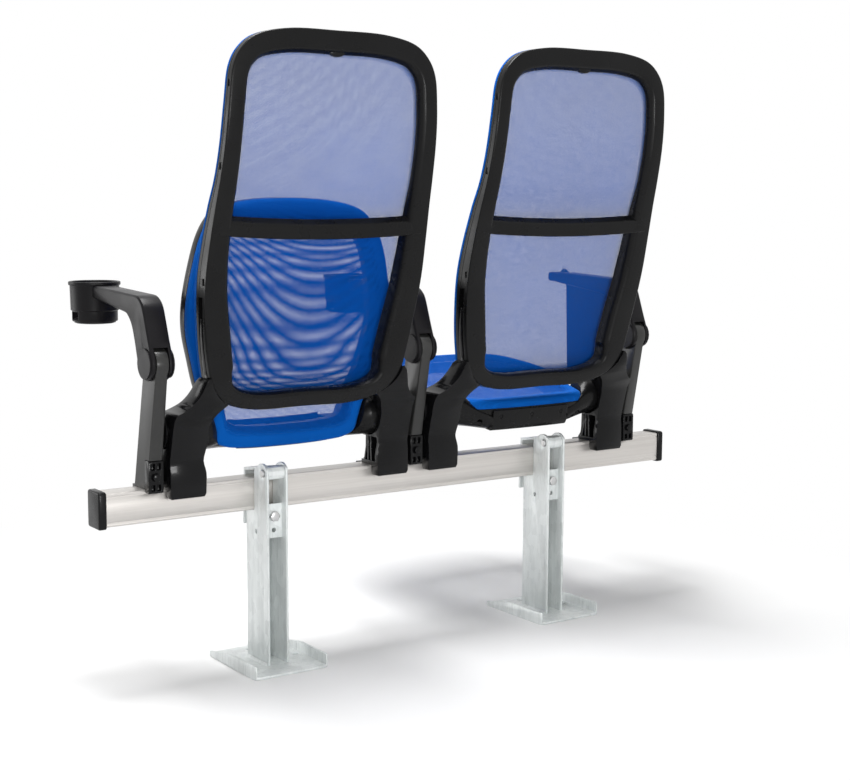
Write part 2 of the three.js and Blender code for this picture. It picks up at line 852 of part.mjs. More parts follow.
// The height of the seat's crowned and dipped plane over the hinge's level
function seatLevel(s) {
  const start = seatReach * seatFrontDipShare;
  const dip = Math.max(0, (s - start) / (seatReach - start));
  const along = alongSeat(s);
  return seatCrown * (1 - along * along) - seatFrontDip * dip * dip;
}

function seatPoint({ at, inward }, w, n) {
  const s = at.y + inward.y * w;
  return new THREE.Vector3(at.x + inward.x * w, -s, n + seatLevel(s));
}

function seatFrame() {
  return ringBody(seatOutline.map((station) => [
    seatPoint(station, 0, -seatRimTop), seatPoint(station, 0, -seatRimBottom / 2),
    seatPoint(station, seatRimDraft, -seatRimBottom),
    seatPoint(station, seatRimWidth - seatRimDraft, -seatRimBottom),
    seatPoint(station, seatRimWidth, -seatRimBottom / 2),
    seatPoint(station, seatRimWidth, -seatRimTop),
  ]));
}

function seatMesh() {
  const edge = ringBody(seatOutline.map((station) => [
    seatPoint(station, 0, -seatMeshBottom), seatPoint(station, 0, seatMeshTop - seatMeshRound),
    seatPoint(station, seatMeshRound, seatMeshTop),
    seatPoint(station, seatMeshMargin, seatMeshTop - seatMeshSag / 4),
    seatPoint(station, seatMeshMargin, -seatMeshBottom),
  ]));
  const margin = seatMeshMargin * seatMeshHemShare;
  const rings = Array.from({ length: sheetRows + 1 }, (_, i) => {
    const s = mix(margin - seatTail, seatReach - margin, i / sheetRows);
    const half = halfWidthAt(seatOutline, s) - margin;
    const top = Array.from({ length: sheetColumns + 1 }, (_, j) => sheetPoint(s, half, j));
    const bottom = top.map((point) => point.clone().setZ(point.z - seatMeshThickness)).reverse();
    return [...top, ...bottom];
  });
  return join(edge, loft(rings, rings[0].map((point) => new THREE.Vector2(point.x, point.z))));
}

function sheetPoint(s, half, column) {
  const across = (2 * column) / sheetColumns - 1;
  const along = alongSeat(s);
  const sag = seatMeshSag * (1 - across * across) * (1 - along * along);
  return new THREE.Vector3(across * half, -s, seatMeshTop - seatMeshSag / 4 - sag + seatLevel(s));
}

// How far behind the hinge axis the seat's edge is at a given distance from its middle
function tailAt(x) {
  const tail = seatOutline.slice(0, seatOutline.length / 4).map(({ at }) => at);
  return -curveAt(tail, x);
}

function seatRearCover() {
  const corners = seatOutline.slice(0, seatOutline.length / 4).map(({ at }) => at.x);
  const sides = [...corners.filter((x) => x > 0 && x < coverHalfWidth), coverHalfWidth];
  const rings = [...sides.map((x) => -x).reverse(), 0, ...sides].map((x) => {
    const rear = tailAt(Math.abs(x)) + fitGap;
    return [
      [rear, -coverTop], [rear + coverWall, -coverTop], [rear + coverWall, coverWall - coverDrop],
      [rear, -coverDrop], [rear - coverReturn, -coverDrop],
      [rear - coverReturn, coverWall - coverDrop], [rear - coverWall, coverWall - coverDrop],
      [rear, 2 * coverWall - coverDrop],
    ].map(([y, z]) => new THREE.Vector3(x, y, z));
  });
  return loft(rings, rings[0].map((point) => new THREE.Vector2(point.y, point.z)));
}

// The seat's filled plan above its underside, with a clearance round it
function seatPlanBody(clearance) {
  const plan = plainShape(seatOutline.map(({ at, inward }) => [
    at.x - inward.x * clearance, -at.y + inward.y * clearance]));
  return extrudeZ(plan, -seatRimBottom - clearance, barrelRadius + overrun);
}

function hingeBarrel() {
  const stations = [
    { x: barrelOuter, s: 0, n: 0, halfS: barrelRadius, halfN: barrelRadius },
    { x: barrelFlareStart, s: 0, n: 0, halfS: barrelRadius, halfN: barrelRadius },
    {
      x: mix(barrelFlareStart, coverHalfWidth, barrelFlareShare),
      s: barrelInnerS * barrelFlareShare, n: barrelInnerN * barrelFlareDropShare,
      halfS: mix(barrelRadius, barrelInnerHalfS, barrelFlareShare),
      halfN: mix(barrelRadius, barrelInnerHalfN, barrelFlareHeightShare),
    },
    {
      x: coverHalfWidth + fitGap, s: barrelInnerS, n: barrelInnerN,
      halfS: barrelInnerHalfS, halfN: barrelInnerHalfN,
    },
  ];
  const rings = stations.map(({ x, s, n, halfS, halfN }) => Array.from(
    { length: discFacets }, (_, i) => {
      const turn = (2 * Math.PI * i) / discFacets;
      return new THREE.Vector3(x, -s + halfS * Math.cos(turn), n + halfN * Math.sin(turn));
    }));
  const body = loft(rings, rings[0].map((point) => new THREE.Vector2(point.y, point.z)));
  const bore = rodX(
    boreFor(hingePinRadius), hingePinInner - fitGap, barrelOuter + overrun, 0, 0);
  return cut(body, bore, seatPlanBody(2 * fitGap));
}

// Bracket from the beam to the hinge and the back
function shareBox(shares, a0, a1, b0, b1) {
  return shares.map(([a, b]) => [mix(a0, a1, a), mix(b0, b1, b)]);
}

function bracketRib(footY) {
  const lean = Math.sign(footY - hingeY) * ribThickness;
  const bottom = beamTop + bracketFloor - overrun;
  const top = bracketCavityTop + overrun;
  return extrudeX(plainShape([
    [footY, bottom], [footY + ribThickness, bottom], [hingeY + ribThickness + lean, top],
    [hingeY + lean, top],
  ]), bracketInner + ribSetback, bracketOuter - overrun);
}

// Everything within the back's outline, kept clear by the bracket
function backBlock() {
  const rings = Array.from({ length: blockRows + 1 }, (_, i) => {
    const z = mix(backBottom, bracketTop + overrun, i / blockRows);
    const half = halfWidthAt(backOutline, z);
    const front = -bracketFront - overrun;
    const rear = bracketRear + overrun;
    return [[-half, front], [half, front], [half, rear], [-half, rear]]
      .map(([x, y]) => new THREE.Vector3(x, y, z));
  });
  return loft(rings, rings[0].map((point) => new THREE.Vector2(point.x, point.y)));
}

// The rim and its mesh with a clearance round them, drawn out far behind the back
function rimSleeve(clearance) {
  return ringBody(backOutline.map((station) => {
    const width = rimWidth(station) + backRimDraft;
    return [
      rimPoint(station, -clearance, -bracketRear), rimPoint(station, width, -bracketRear),
      rimFront(station, width, backMeshEdge + clearance),
      rimFront(station, -clearance, backMeshEdge + clearance),
    ];
  }));
}

function bracketTongue() {
  const rings = Array.from({ length: blockRows + 1 }, (_, i) => {
    const share = i / blockRows;
    const z = mix(recessBottom + overrun, tongueTop, share);
    const half = halfWidthAt(backOutline, z);
    const outer = z < bracketTop ? half + overrun : half;
    const inner = half - recessDepth + 2 * fitGap;
    const width = mix(recessWidth - 4 * fitGap, tongueTipWidth, Math.max(0, 2 * share - 1));
    const middle = backRear(z) - recessSetback - recessWidth / 2;
    return [
      [inner, middle + width / 2], [outer, middle + width / 2],
      [outer, middle - width / 2], [inner, middle - width / 2],
    ].map(([x, y]) => new THREE.Vector3(x, y, z));
  });
  return loft(rings, rings[0].map((point) => new THREE.Vector2(point.x, point.y)));
}

function seatBracket() {
  const side = shareBox(bracketSideShares, -bracketFront, bracketRear, bracketBottom, bracketTop);
  const face = shareBox(
    bracketFaceShares, bracketThroatInner, bracketOuter, bracketBottom, bracketTop);
  const body = common(
    extrudeX(roundedShape(side, bracketCorner), bracketThroatInner - overrun, bracketOuter),
    extrudeY(roundedShape(face, bracketCorner), -bracketFront - overrun, bracketRear + overrun));
  const beamSpace = beamRear + fitGap;
  const saddle = block(
    bracketThroatInner - overrun, bracketOuter + overrun, -beamSpace, beamSpace,
    beamUnderside, beamTop + fitGap);
  const barrel = rodX(
    barrelRadius + barrelSpace, bracketThroatInner - overrun, plateInner, hingeY, hingeZ,
    discFacets);
  const cavityRear = mix(-bracketFront, bracketRear, bracketSideShares[2][0]) - bracketWall;
  const cavity = block(
    bracketThroatInner, bracketOuter - bracketOuterWall, bracketWall - beamSpace, cavityRear,
    beamTop + bracketFloor, bracketCavityTop);
  const hollow = cut(body, saddle, cavity);
  const ribs = [beamSpace - bracketWall, hingeY - ribThickness, 2 * bracketWall - beamSpace]
    .map((footY) => common(bracketRib(footY), body));
  const bore = rodX(
    boreFor(hingePinRadius), plateInner - overrun, bracketOuter + overrun, hingeY, hingeZ);
  const seatRoom = block(
    bracketThroatInner - overrun, bracketInner, -bracketFront - overrun, bracketThroatFront,
    hingeZ, bracketTop);
  const besideLeg = block(
    bracketThroatInner - overrun, frontLegInner, -bracketFront - overrun, -frontLegRear,
    beamTop, hingeZ);
  const trimmed = cut(
    join(hollow, ...ribs), barrel, besideLeg, seatRoom, backBlock(), rimSleeve(2 * fitGap), bore);
  return join(trimmed, bracketTongue());
}

function pivotCap() {
  const start = bracketOuter + fitGap;
  const end = start + pivotCapThickness;
  const ring = pivotCapRadius - pivotCapRim;
  const profile = [
    [0, start], [pivotCapRadius, start], [pivotCapRadius, end - pivotCapDish],
    [ring, end], [0, end - pivotCapDish],
  ].map(([radius, x]) => new THREE.Vector2(radius, x));
  const cap = new THREE.LatheGeometry(profile, discFacets);
  return cap.rotateZ(-Math.PI / 2).translate(0, hingeY, hingeZ);
}

function hingePin() {
  return rodX(hingePinRadius, hingePinInner, bracketOuter, hingeY, hingeZ);
}

// Armrest, built with its knuckle pivot at the origin
function armPoint([f, u]) {
  return [-f * armReach, u * armRise];
}

// The room that the post needs between the cheeks from the lowered to the raised armrest
function postSlot() {
  const radius = postHeadRadius + slotSpare;
  const lean = THREE.MathUtils.degToRad(postLeanAngle);
  const along = new THREE.Vector2(-Math.sin(lean), -Math.cos(lean));
  const ahead = new THREE.Vector2(-Math.cos(lean), Math.sin(lean));
  const shape = new THREE.Shape();
  const start = ahead.clone().multiplyScalar(radius);
  const foot = start.clone().addScaledVector(along, slotReach);
  const raised = ahead.clone().multiplyScalar(-slotReach);
  const above = along.clone().multiplyScalar(-radius);
  shape.moveTo(start.x, start.y);
  shape.lineTo(foot.x, foot.y);
  shape.lineTo(slotReach, -slotReach);
  shape.lineTo(raised.x + above.x, raised.y + above.y);
  shape.lineTo(above.x, above.y);
  shape.absarc(0, 0, radius, Math.PI / 2 - lean, Math.PI - lean, false);
  return extrudeX(shape, -slotWidth / 2, slotWidth / 2, 0, rodFacets);
}

function armBlank() {
  const side = roundedShape(armShares.map(armPoint), armCorner);
  const blank = extrudeX(side, -armHalf, armHalf, armBevel, armCornerFacets);
  const across = [-armHalf - overrun, armHalf + overrun];
  return cut(blank, postSlot(), rodX(boreFor(armPinRadius), ...across, 0, 0));
}

function cupArm() {
  const rimBottom = cupTop - cupRimHeight - fitGap;
  return cut(
    armBlank(),
    rodZ(cupRadius + fitGap, 0, armRise + overrun, 0, -cupForward, discFacets),
    rodZ(cupRimRadius + fitGap, rimBottom, cupTop + overrun, 0, -cupForward, discFacets));
}

// Turns a body made round the Z axis onto the tablet's pivot axis, which leans out by 45 degrees
function onTabletAxis(geometry) {
  return geometry.rotateY(Math.PI / 4).translate(armHalf, -tabletPivotForward, tabletPivotUp);
}

function tabletArm() {
  const squareEnd = block(
    -armHalf - overrun, armHalf + overrun, -2 * armReach, -tabletPivotForward + tabletBossRadius,
    0, 2 * armRise);
  const nose = extrudeX(roundedShape([
    [-armReach + armCorner, armRise * armShares.at(-1)[1]],
    [-tabletNoseReach, armRise * armShares.at(-1)[1]], [-tabletNoseReach, armRise],
    [-armReach + armCorner, armRise],
  ], tabletNoseCorner), -armHalf, armHalf, armBevel);
  const sweep = new THREE.LatheGeometry([
    [0, -tabletBossSeat], [tabletBossRadius + fitGap, -tabletBossSeat],
    [tabletSweep, tabletBossRadius - tabletBossSeat - tabletSweep], [tabletSweep, tabletSweep],
    [0, tabletSweep],
  ].map(([radius, h]) => new THREE.Vector2(radius, h)), discFacets).rotateX(Math.PI / 2);
  const shaped = cut(nose, onTabletAxis(sweep));
  const bore = onTabletAxis(rodZ(
    boreFor(tabletPinRadius), -tabletPinDepth - fitGap, overrun, 0, 0));
  return cut(join(cut(armBlank(), squareEnd), shaped), bore);
}

function tabletBoard() {
  const inner = armHalf + tabletStandoff;
  const board = extrudeX(roundedShape([
    [-tabletFront, tabletTop], [-tabletRear, tabletTop], [-tabletRear, tabletBottom],
    [tabletTaper - tabletFront, tabletBottom],
  ], tabletCorner), inner, inner + tabletThickness, tabletBevel);
  const boss = onTabletAxis(rodZ(
    tabletBossRadius, fitGap - tabletBossSeat, tabletBossHeight, 0, 0));
  const corner = block(
    inner, inner + tabletThickness, -tabletFront + tabletBevel,
    tabletBossRadius - tabletPivotForward, tabletTop - tabletCorner, tabletTop);
  const bore = onTabletAxis(rodZ(
    boreFor(tabletPinRadius), -tabletBossSeat - overrun, tabletPinHeight + fitGap, 0, 0));
  return cut(join(board, corner, boss), bore);
}

function tabletPin() {
  return onTabletAxis(rodZ(tabletPinRadius, -tabletPinDepth, tabletPinHeight, 0, 0));
}

function armPivot() {
  const face = armHalf + fitGap;
  const discs = [-1, 1].map((side) => rodX(
    armDiscRadius, Math.min(side * face, side * (face + armDiscThickness)),
    Math.max(side * face, side * (face + armDiscThickness)), 0, 0, discFacets));
  return join(rodX(armPinRadius, -face - fitGap, face + fitGap, 0, 0), ...discs);
}

// Post, with its head at the origin and its foot on the beam
function armPost() {
  const beamLevel = beamTop - knuckleZ;
  const lean = THREE.MathUtils.degToRad(postLeanAngle);
  const bottom = (knuckleZ - beamTop - fitGap) / Math.cos(lean);
  const half = postDepth / 2;
  const leaf = extrudeX(roundedShape([
    [-half, -half - bottom], [half, -half - bottom], [half, 0], [-half, 0],
  ], postCorner), -postFootWidth / 2, postFootWidth / 2, postBevel);
  const head = rodX(
    postHeadRadius, -postFootWidth / 2, postFootWidth / 2, 0, 0, discFacets);
  const shaft = leaf.rotateX(-lean);
  const level = beamLevel + fitGap;
  const floor = block(
    -postFootWidth, postFootWidth, -slotReach, slotReach, level - slotReach, level);
  const lipRear = -beamRear - fitGap - knuckleY;
  const lip = block(
    -postFootWidth / 2, postFootWidth / 2, lipRear - postLipThickness, lipRear,
    beamLevel - postLipDrop, level + overrun);
  const bore = rodX(boreFor(armPinRadius), -postFootWidth, postFootWidth, 0, 0);
  const clampSeat = block(
    -postFootWidth, postFootWidth, beamRear + fitGap - knuckleY, slotReach,
    level - overrun, clampTop - knuckleZ + fitGap);
  const screwHole = rodY(
    boreFor(clampBoltRadius), beamRear - knuckleY - clampBoltReach, slotReach, 0,
    clampBoltZ - knuckleZ);
  const trimmed = cut(shaft, floor, block(
    -postFootWidth, postFootWidth, -slotReach, slotReach, -postHeadRadius / 2, slotReach));
  const whole = cut(join(trimmed, head, lip), bore, clampSeat, screwHole);
  return tapered(whole);
}

// Narrows the post from its foot to its head
function tapered(geometry) {
  const place = geometry.attributes.position;
  const foot = beamTop - knuckleZ;
  for (let i = 0; i < place.count; i += 1) {
    const share = THREE.MathUtils.clamp(place.getZ(i) / foot, 0, 1);
    place.setX(i, place.getX(i) * mix(postTopWidth / postFootWidth, 1, share));
  }
  return geometry;
}

function postClamp() {
  const half = clampWidth / 2;
  const front = beamRear + 2 * fitGap;
  const body = extrudeX(roundedShape([
    [front, clampBottom], [front + clampDepth, clampBottom], [front + clampDepth, clampTop],
    [front, clampTop],
  ], clampRib), -half, half);
  const pocketFloor = front + clampDepth - clampPocket;
  const inner = half - clampPocketMargin;
  const pockets = [[clampBottom + clampPocketMargin, clampBoltZ - clampBoltHeadAcross],
    [clampBoltZ + clampBoltHeadAcross, clampTop - clampPocketMargin]].flatMap(([z0, z1]) => [
    block(-inner, -clampRib / 2, pocketFloor, front + clampDepth + overrun, z0, z1),
    block(clampRib / 2, inner, pocketFloor, front + clampDepth + overrun, z0, z1),
  ]);
  const hole = rodY(
    boreFor(clampBoltRadius), front - overrun, front + clampDepth + overrun, 0, clampBoltZ);
  return cut(body, ...pockets, hole).translate(0, -knuckleY, -knuckleZ);
}

function postBolt() {
  const face = beamRear + 3 * fitGap + clampDepth;
  const head = extrudeY(hexagon(clampBoltHeadAcross, clampBoltZ), face, face + clampBoltHead);
  const shank = rodY(clampBoltRadius, beamRear - clampBoltReach + overrun, face + overrun,
    0, clampBoltZ);
  return join(head, shank).translate(0, -knuckleY, -knuckleZ);
}

function cupHolder() {
  const bottom = cupTop - cupHeight;
  const ledge = bottom + cupStepHeight;
  const rim = cupTop - cupRimHeight;
  const profile = [
    [0, bottom], [cupBaseRadius, bottom], [cupBaseRadius, bottom + cupBaseHeight],
    [cupLowerRadius, bottom + cupBaseHeight], [cupLowerRadius, ledge],
    [cupRadius - cupTaper, ledge], [cupRadius, rim], [cupRimRadius, rim], [cupRimRadius, cupTop],
    [cupRadius - cupWall, cupTop], [cupRadius - cupTaper - cupWall, ledge + cupWall],
    [cupLowerRadius - cupWall, ledge + cupWall],
    [cupLowerRadius - cupWall, bottom + cupBaseHeight + cupWall],
    [0, bottom + cupBaseHeight + cupWall],
  ].map(([radius, z]) => new THREE.Vector2(radius, z));
  const body = new THREE.LatheGeometry(profile, discFacets).rotateX(Math.PI / 2);
  const floor = bottom + cupBaseHeight + cupWall;
  const window = block(
    -cupRimRadius, cupRimRadius, -cupWindowWidth / 2, cupWindowWidth / 2,
    floor, floor + cupWindowHeight);
  return cut(body, window).translate(0, -cupForward, 0);
}

// Assembly
const assembly = new THREE.Group();
assembly.position.set(-beamShift, 0, 0);

function group(parent, x, y, z, pitch = 0) {
  const holder = new THREE.Group();
  holder.position.set(x, y, z);
  holder.rotation.x = -THREE.MathUtils.degToRad(pitch);
  parent.add(holder);
  return holder;
}

function add(parent, name, geometry, material) {
  const mesh = new THREE.Mesh(geometry, material);
  mesh.name = name;
  parent.add(mesh);
}

function addBeam() {
  const place = group(assembly, beamShift, 0, 0);
  add(place, 'beam', beamBody(), aluminium);
  add(place, 'left_beam_cap', beamCap(), matteBlack);
  add(place, 'right_beam_cap', mirrored(beamCap()), matteBlack);
}

function addPedestal(side, x) {
  const place = group(assembly, x, 0, 0);
  add(place, `${side}_pedestal_channel`, pedestalChannel(), zinc);
  add(place, `${side}_base_plate`, basePlate(), zinc);
  add(place, `${side}_clamp_strap`, clampStrap(), zinc);
  add(place, `${side}_clamp_pin`, clampPin(), zinc);
  add(place, `${side}_clamp_bolt`, clampBolt(), steel);
  add(place, `${side}_clamp_nut`, clampNut(), steel);
}

function addBracket(name, place, turn) {
  add(place, `${name}_seat_bracket`, turn(seatBracket()), glossBlack);
  add(place, `${name}_pivot_cap`, turn(pivotCap()), matteBlack);
  add(place, `${name}_hinge_pin`, turn(hingePin()), steel);
}

function addSeat(side, x, pitch) {
  const place = group(assembly, x, 0, 0);
  addBracket(`${side}_seat_outer`, place, side === 'left' ? (part) => part : mirrored);
  addBracket(`${side}_seat_inner`, place, side === 'left' ? mirrored : (part) => part);
  add(place, `${side}_back_frame`, backFrame(), matteBlack);
  add(place, `${side}_back_mesh`, backMesh(), blueMesh);
  const seat = group(place, 0, hingeY, hingeZ, pitch);
  add(seat, `${side}_seat_frame`, seatFrame(), matteBlack);
  add(seat, `${side}_seat_mesh`, seatMesh(), blueMesh);
  add(seat, `${side}_seat_rear_cover`, seatRearCover(), matteBlack);
  add(seat, `${side}_seat_left_barrel`, hingeBarrel(), matteBlack);
  add(seat, `${side}_seat_right_barrel`, mirrored(hingeBarrel()), matteBlack);
}

function addArm(side, x, armGeometry) {
  const place = group(assembly, x, knuckleY, knuckleZ);
  add(place, `${side}_arm_post`, armPost(), postGrey);
  add(place, `${side}_post_clamp`, postClamp(), glossBlack);
  add(place, `${side}_post_bolt`, postBolt(), steel);
  add(place, `${side}_armrest`, armGeometry, armBlack);
  add(place, `${side}_arm_pivot`, armPivot(), armBlack);
  return place;
}

addBeam();
addPedestal('left', pedestalSpread / 2);
addPedestal('right', -pedestalSpread / 2);
addSeat('left', seatPitch / 2, seatUseAngle + seatTipAngle);
addSeat('right', -seatPitch / 2, seatUseAngle);
for (const [side, x] of [['left', seatPitch], ['middle', 0]]) {
  add(addArm(side, x, cupArm()), `${side}_cup_holder`, cupHolder(), armBlack);
}
const rightArm = addArm('right', -seatPitch, mirrored(tabletArm()));
add(rightArm, 'writing_tablet', mirrored(tabletBoard()), armBlack);
add(rightArm, 'tablet_pin', mirrored(tabletPin()), steel);

// The row stands with its origin under the middle of its length and its depth
const bounds = new THREE.Box3().setFromObject(assembly, true);
assembly.position.y = -(bounds.min.y + bounds.max.y) / 2;

const row = new THREE.Group();
row.add(assembly);

export default row;
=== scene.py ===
import json
import math

import bmesh
import bpy
from mathutils import Matrix, Vector

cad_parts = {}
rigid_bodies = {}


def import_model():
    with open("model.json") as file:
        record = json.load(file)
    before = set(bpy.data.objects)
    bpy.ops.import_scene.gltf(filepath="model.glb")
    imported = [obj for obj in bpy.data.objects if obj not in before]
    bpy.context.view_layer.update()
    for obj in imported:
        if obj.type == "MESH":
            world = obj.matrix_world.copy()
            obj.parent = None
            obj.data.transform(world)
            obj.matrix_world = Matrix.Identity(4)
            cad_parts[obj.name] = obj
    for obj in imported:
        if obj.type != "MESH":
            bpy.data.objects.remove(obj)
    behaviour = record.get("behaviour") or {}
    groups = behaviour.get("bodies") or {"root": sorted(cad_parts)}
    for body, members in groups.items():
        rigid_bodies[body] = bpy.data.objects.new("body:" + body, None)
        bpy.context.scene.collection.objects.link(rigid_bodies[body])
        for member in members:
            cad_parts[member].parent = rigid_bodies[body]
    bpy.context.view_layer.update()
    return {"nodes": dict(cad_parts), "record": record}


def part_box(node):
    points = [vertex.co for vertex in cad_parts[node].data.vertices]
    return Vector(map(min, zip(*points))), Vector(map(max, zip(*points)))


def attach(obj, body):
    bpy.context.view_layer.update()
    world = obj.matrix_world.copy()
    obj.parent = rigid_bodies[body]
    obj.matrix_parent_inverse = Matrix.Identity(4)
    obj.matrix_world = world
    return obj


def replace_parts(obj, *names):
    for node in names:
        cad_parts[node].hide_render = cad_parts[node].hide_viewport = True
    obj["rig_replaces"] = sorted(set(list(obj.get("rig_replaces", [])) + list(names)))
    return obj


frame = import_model()

# Places in the row, in millimetres, and the turn of each seat, in degrees
MM = 0.001
HINGE_Y, HINGE_Z = 8.0, 447.0
SEAT_X = {"left": 283.0, "right": -267.0}
SEAT_TURN = {"left": 95.3, "right": 7.3}
ARM_X = {"left": 558.0, "middle": 8.0}
ARM_Y, ARM_Z = 48.0, 574.0
hinge_low, hinge_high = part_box("left_seat_outer_hinge_pin")
SHIFT_Y = (hinge_low[1] + hinge_high[1]) / 2 / MM - HINGE_Y
BODY_OF = {
    node: body for body, nodes in frame["record"]["behaviour"]["bodies"].items() for node in nodes
}
SLOT_OF = {row["node"]: row["material_slot"] for row in frame["record"]["subparts"]}


def place_at(x, y, z):
    return Matrix.Translation(Vector((x, SHIFT_Y + y, z)) * MM)


def to_back(side):
    return place_at(SEAT_X[side], 0, 0) @ Matrix.Scale(MM, 4)


def to_seat(side):
    turn = Matrix.Rotation(-math.radians(SEAT_TURN[side]), 4, "X")
    return place_at(SEAT_X[side], HINGE_Y, HINGE_Z) @ turn @ Matrix.Scale(MM, 4)


def to_arm(side):
    return place_at(ARM_X[side], ARM_Y, ARM_Z) @ Matrix.Scale(MM, 4)


# Curves
TINY = 1e-6
# The most of a side that a rounded corner may take
CORNER_SHARE = 0.45


def mix(a, b, share):
    return a + (b - a) * share


def spline_point(points, t, closed):
    """A point of the centripetal curve through all the points."""
    count = len(points)
    place = (count if closed else count - 1) * t
    i = math.floor(place)
    weight = place - i
    if not closed and i >= count - 1:
        i, weight = count - 2, 1.0

    def corner(k):
        if closed:
            return points[k % count]
        if k < 0:
            return tuple(2 * a - b for a, b in zip(points[0], points[1]))
        if k >= count:
            return tuple(2 * a - b for a, b in zip(points[-1], points[-2]))
        return points[k]

    p = [corner(i + k) for k in (-1, 0, 1, 2)]
    gaps = [max(math.sqrt(math.dist(p[k], p[k + 1])), TINY) for k in range(3)]
    result = []
    for x0, x1, x2, x3 in zip(*p):
        start = (x1 - x0) / gaps[0] - (x2 - x0) / (gaps[0] + gaps[1]) + (x2 - x1) / gaps[1]
        end = (x2 - x1) / gaps[1] - (x3 - x1) / (gaps[1] + gaps[2]) + (x3 - x2) / gaps[2]
        start, end = start * gaps[1], end * gaps[1]
        result.append(
            x1 + start * weight + (-3 * x1 + 3 * x2 - 2 * start - end) * weight ** 2
            + (2 * x1 - 2 * x2 + start + end) * weight ** 3)
    return tuple(result)


def curve_at(samples, value):
    """The second number of the samples where the first one reaches the value."""
    for low, high in zip(samples, samples[1:]):
        if high[0] >= value:
            return mix(low[1], high[1], max(0.0, (value - low[0]) / (high[0] - low[0])))
    return samples[-1][1]


def share_samples(shares, count=240):
    return [spline_point(shares, i / count, False) for i in range(count + 1)]


def symmetric_outline(half, stations):
    points = half + [(-x, y) for x, y in reversed(half[1:-1])]
    return [spline_point(points, i / stations, True) for i in range(stations)]


def inward_normals(outline):
    count = len(outline)
    normals = []
    for i in range(count):
        (x0, y0), (x1, y1) = outline[i - 1], outline[(i + 1) % count]
        length = math.hypot(x1 - x0, y1 - y0)
        normals.append((-(y1 - y0) / length, (x1 - x0) / length))
    return normals


def rounded(corners, radii, steps=4):
    """The closed profile with each corner replaced by an arc-like curve."""
    points = []
    count = len(corners)
    for i, (corner, radius) in enumerate(zip(corners, radii)):
        if not radius:
            points.append(corner)
            continue
        before, after = corners[i - 1], corners[(i + 1) % count]
        start, end = (
            tuple(mix(c, n, min(CORNER_SHARE, radius / math.dist(corner, near)))
                  for c, n in zip(corner, near)) for near in (before, after))
        for k in range(steps + 1):
            t = k / steps
            points.append(tuple(
                s * (1 - t) ** 2 + 2 * c * t * (1 - t) + e * t ** 2
                for s, c, e in zip(start, corner, end)))
    return points


def ellipse(half_width, half_height, steps):
    angles = [2 * math.pi * k / steps for k in range(steps)]
    return [(half_width * math.cos(a), half_height * math.sin(a)) for a in angles]


# Meshes
def mesh_object(name, vertices, faces, matrix=None):
    data = bpy.data.meshes.new(name)
    data.from_pydata([tuple(v) for v in vertices], [], faces)
    if matrix is not None:
        data.transform(matrix)
    obj = bpy.data.objects.new(name, data)
    bpy.context.scene.collection.objects.link(obj)
    bm = bmesh.new()
    bm.from_mesh(data)
    bmesh.ops.recalc_face_normals(bm, faces=bm.faces)
    bm.to_mesh(data)
    bm.free()
    return obj


def ring_faces(rings, count, closed=True):
    faces = []
    for i in range(rings if closed else rings - 1):
        near, far = i * count, ((i + 1) % rings) * count
        for j in range(count):
            k = (j + 1) % count
            faces.append((near + j, near + k, far + k, far + j))
    return faces


def ring_object(name, rings, matrix):
    """Profiles joined one to the next, and the last one to the first."""
    faces = ring_faces(len(rings), len(rings[0]))
    return mesh_object(name, [v for ring in rings for v in ring], faces, matrix)


def loft_object(name, rings, matrix):
    """Profiles joined one to the next, with both ends closed."""
    count = len(rings[0])
    faces = ring_faces(len(rings), count, False)
    faces.append(tuple(range(count)))
    faces.append(tuple(reversed(range((len(rings) - 1) * count, len(rings) * count))))
    return mesh_object(name, [v for ring in rings for v in ring], faces, matrix)


def lathe_object(name, profile, steps, matrix):
    """The profile runs from the axis to the axis, in radius and height."""
    vertices, faces, rows = [], [], []
    for radius, height in profile:
        if radius < TINY:
            rows.append([len(vertices)] * steps)
            vertices.append((0, 0, height))
        else:
            rows.append(list(range(len(vertices), len(vertices) + steps)))
            vertices += [(x, y, height) for x, y in ellipse(radius, radius, steps)]
    for low, high in zip(rows, rows[1:]):
        for k in range(steps):
            n = (k + 1) % steps
            faces.append(tuple(dict.fromkeys((low[k], low[n], high[n], high[k]))))
    return mesh_object(name, vertices, [f for f in faces if len(f) > 2], matrix)


def round_object(name, x, n, radius, near, far, matrix, steps=28):
    """A short cylinder along Y, from near to far."""
    rings = [[(x + a, y, n + b) for a, b in ellipse(radius, radius, steps)] for y in (near, far)]
    return loft_object(name, rings, matrix)


def box_object(name, low, high, matrix):
    vertices = [(x, y, z) for x in (low[0], high[0]) for y in (low[1], high[1])
                for z in (low[2], high[2])]
    faces = [(0, 1, 3, 2), (4, 6, 7, 5), (0, 4, 5, 1), (2, 3, 7, 6), (0, 2, 6, 4), (1, 5, 7, 3)]
    return mesh_object(name, vertices, faces, matrix)


def bake_modifiers(obj):
    graph = bpy.context.evaluated_depsgraph_get()
    data = bpy.data.meshes.new_from_object(obj.evaluated_get(graph))
    obj.modifiers.clear()
    obj.data = data


def boolean(obj, tools, operation):
    for tool in tools:
        modifier = obj.modifiers.new("boolean", "BOOLEAN")
        modifier.object = tool
        modifier.operation = operation
        modifier.solver = "EXACT"
    bake_modifiers(obj)
    for tool in tools:
        bpy.data.objects.remove(tool)


def soften(obj, width, angle):
    """Bevels the edges that are sharper than the angle, in degrees."""
    modifier = obj.modifiers.new("bevel", "BEVEL")
    modifier.width = width * MM
    modifier.segments = 2
    modifier.limit_method = "ANGLE"
    modifier.angle_limit = math.radians(angle)
    modifier.use_clamp_overlap = True
    bake_modifiers(obj)


def smooth(obj, angle):
    obj.data.shade_smooth()
    obj.data.set_sharp_from_angle(angle=math.radians(angle))


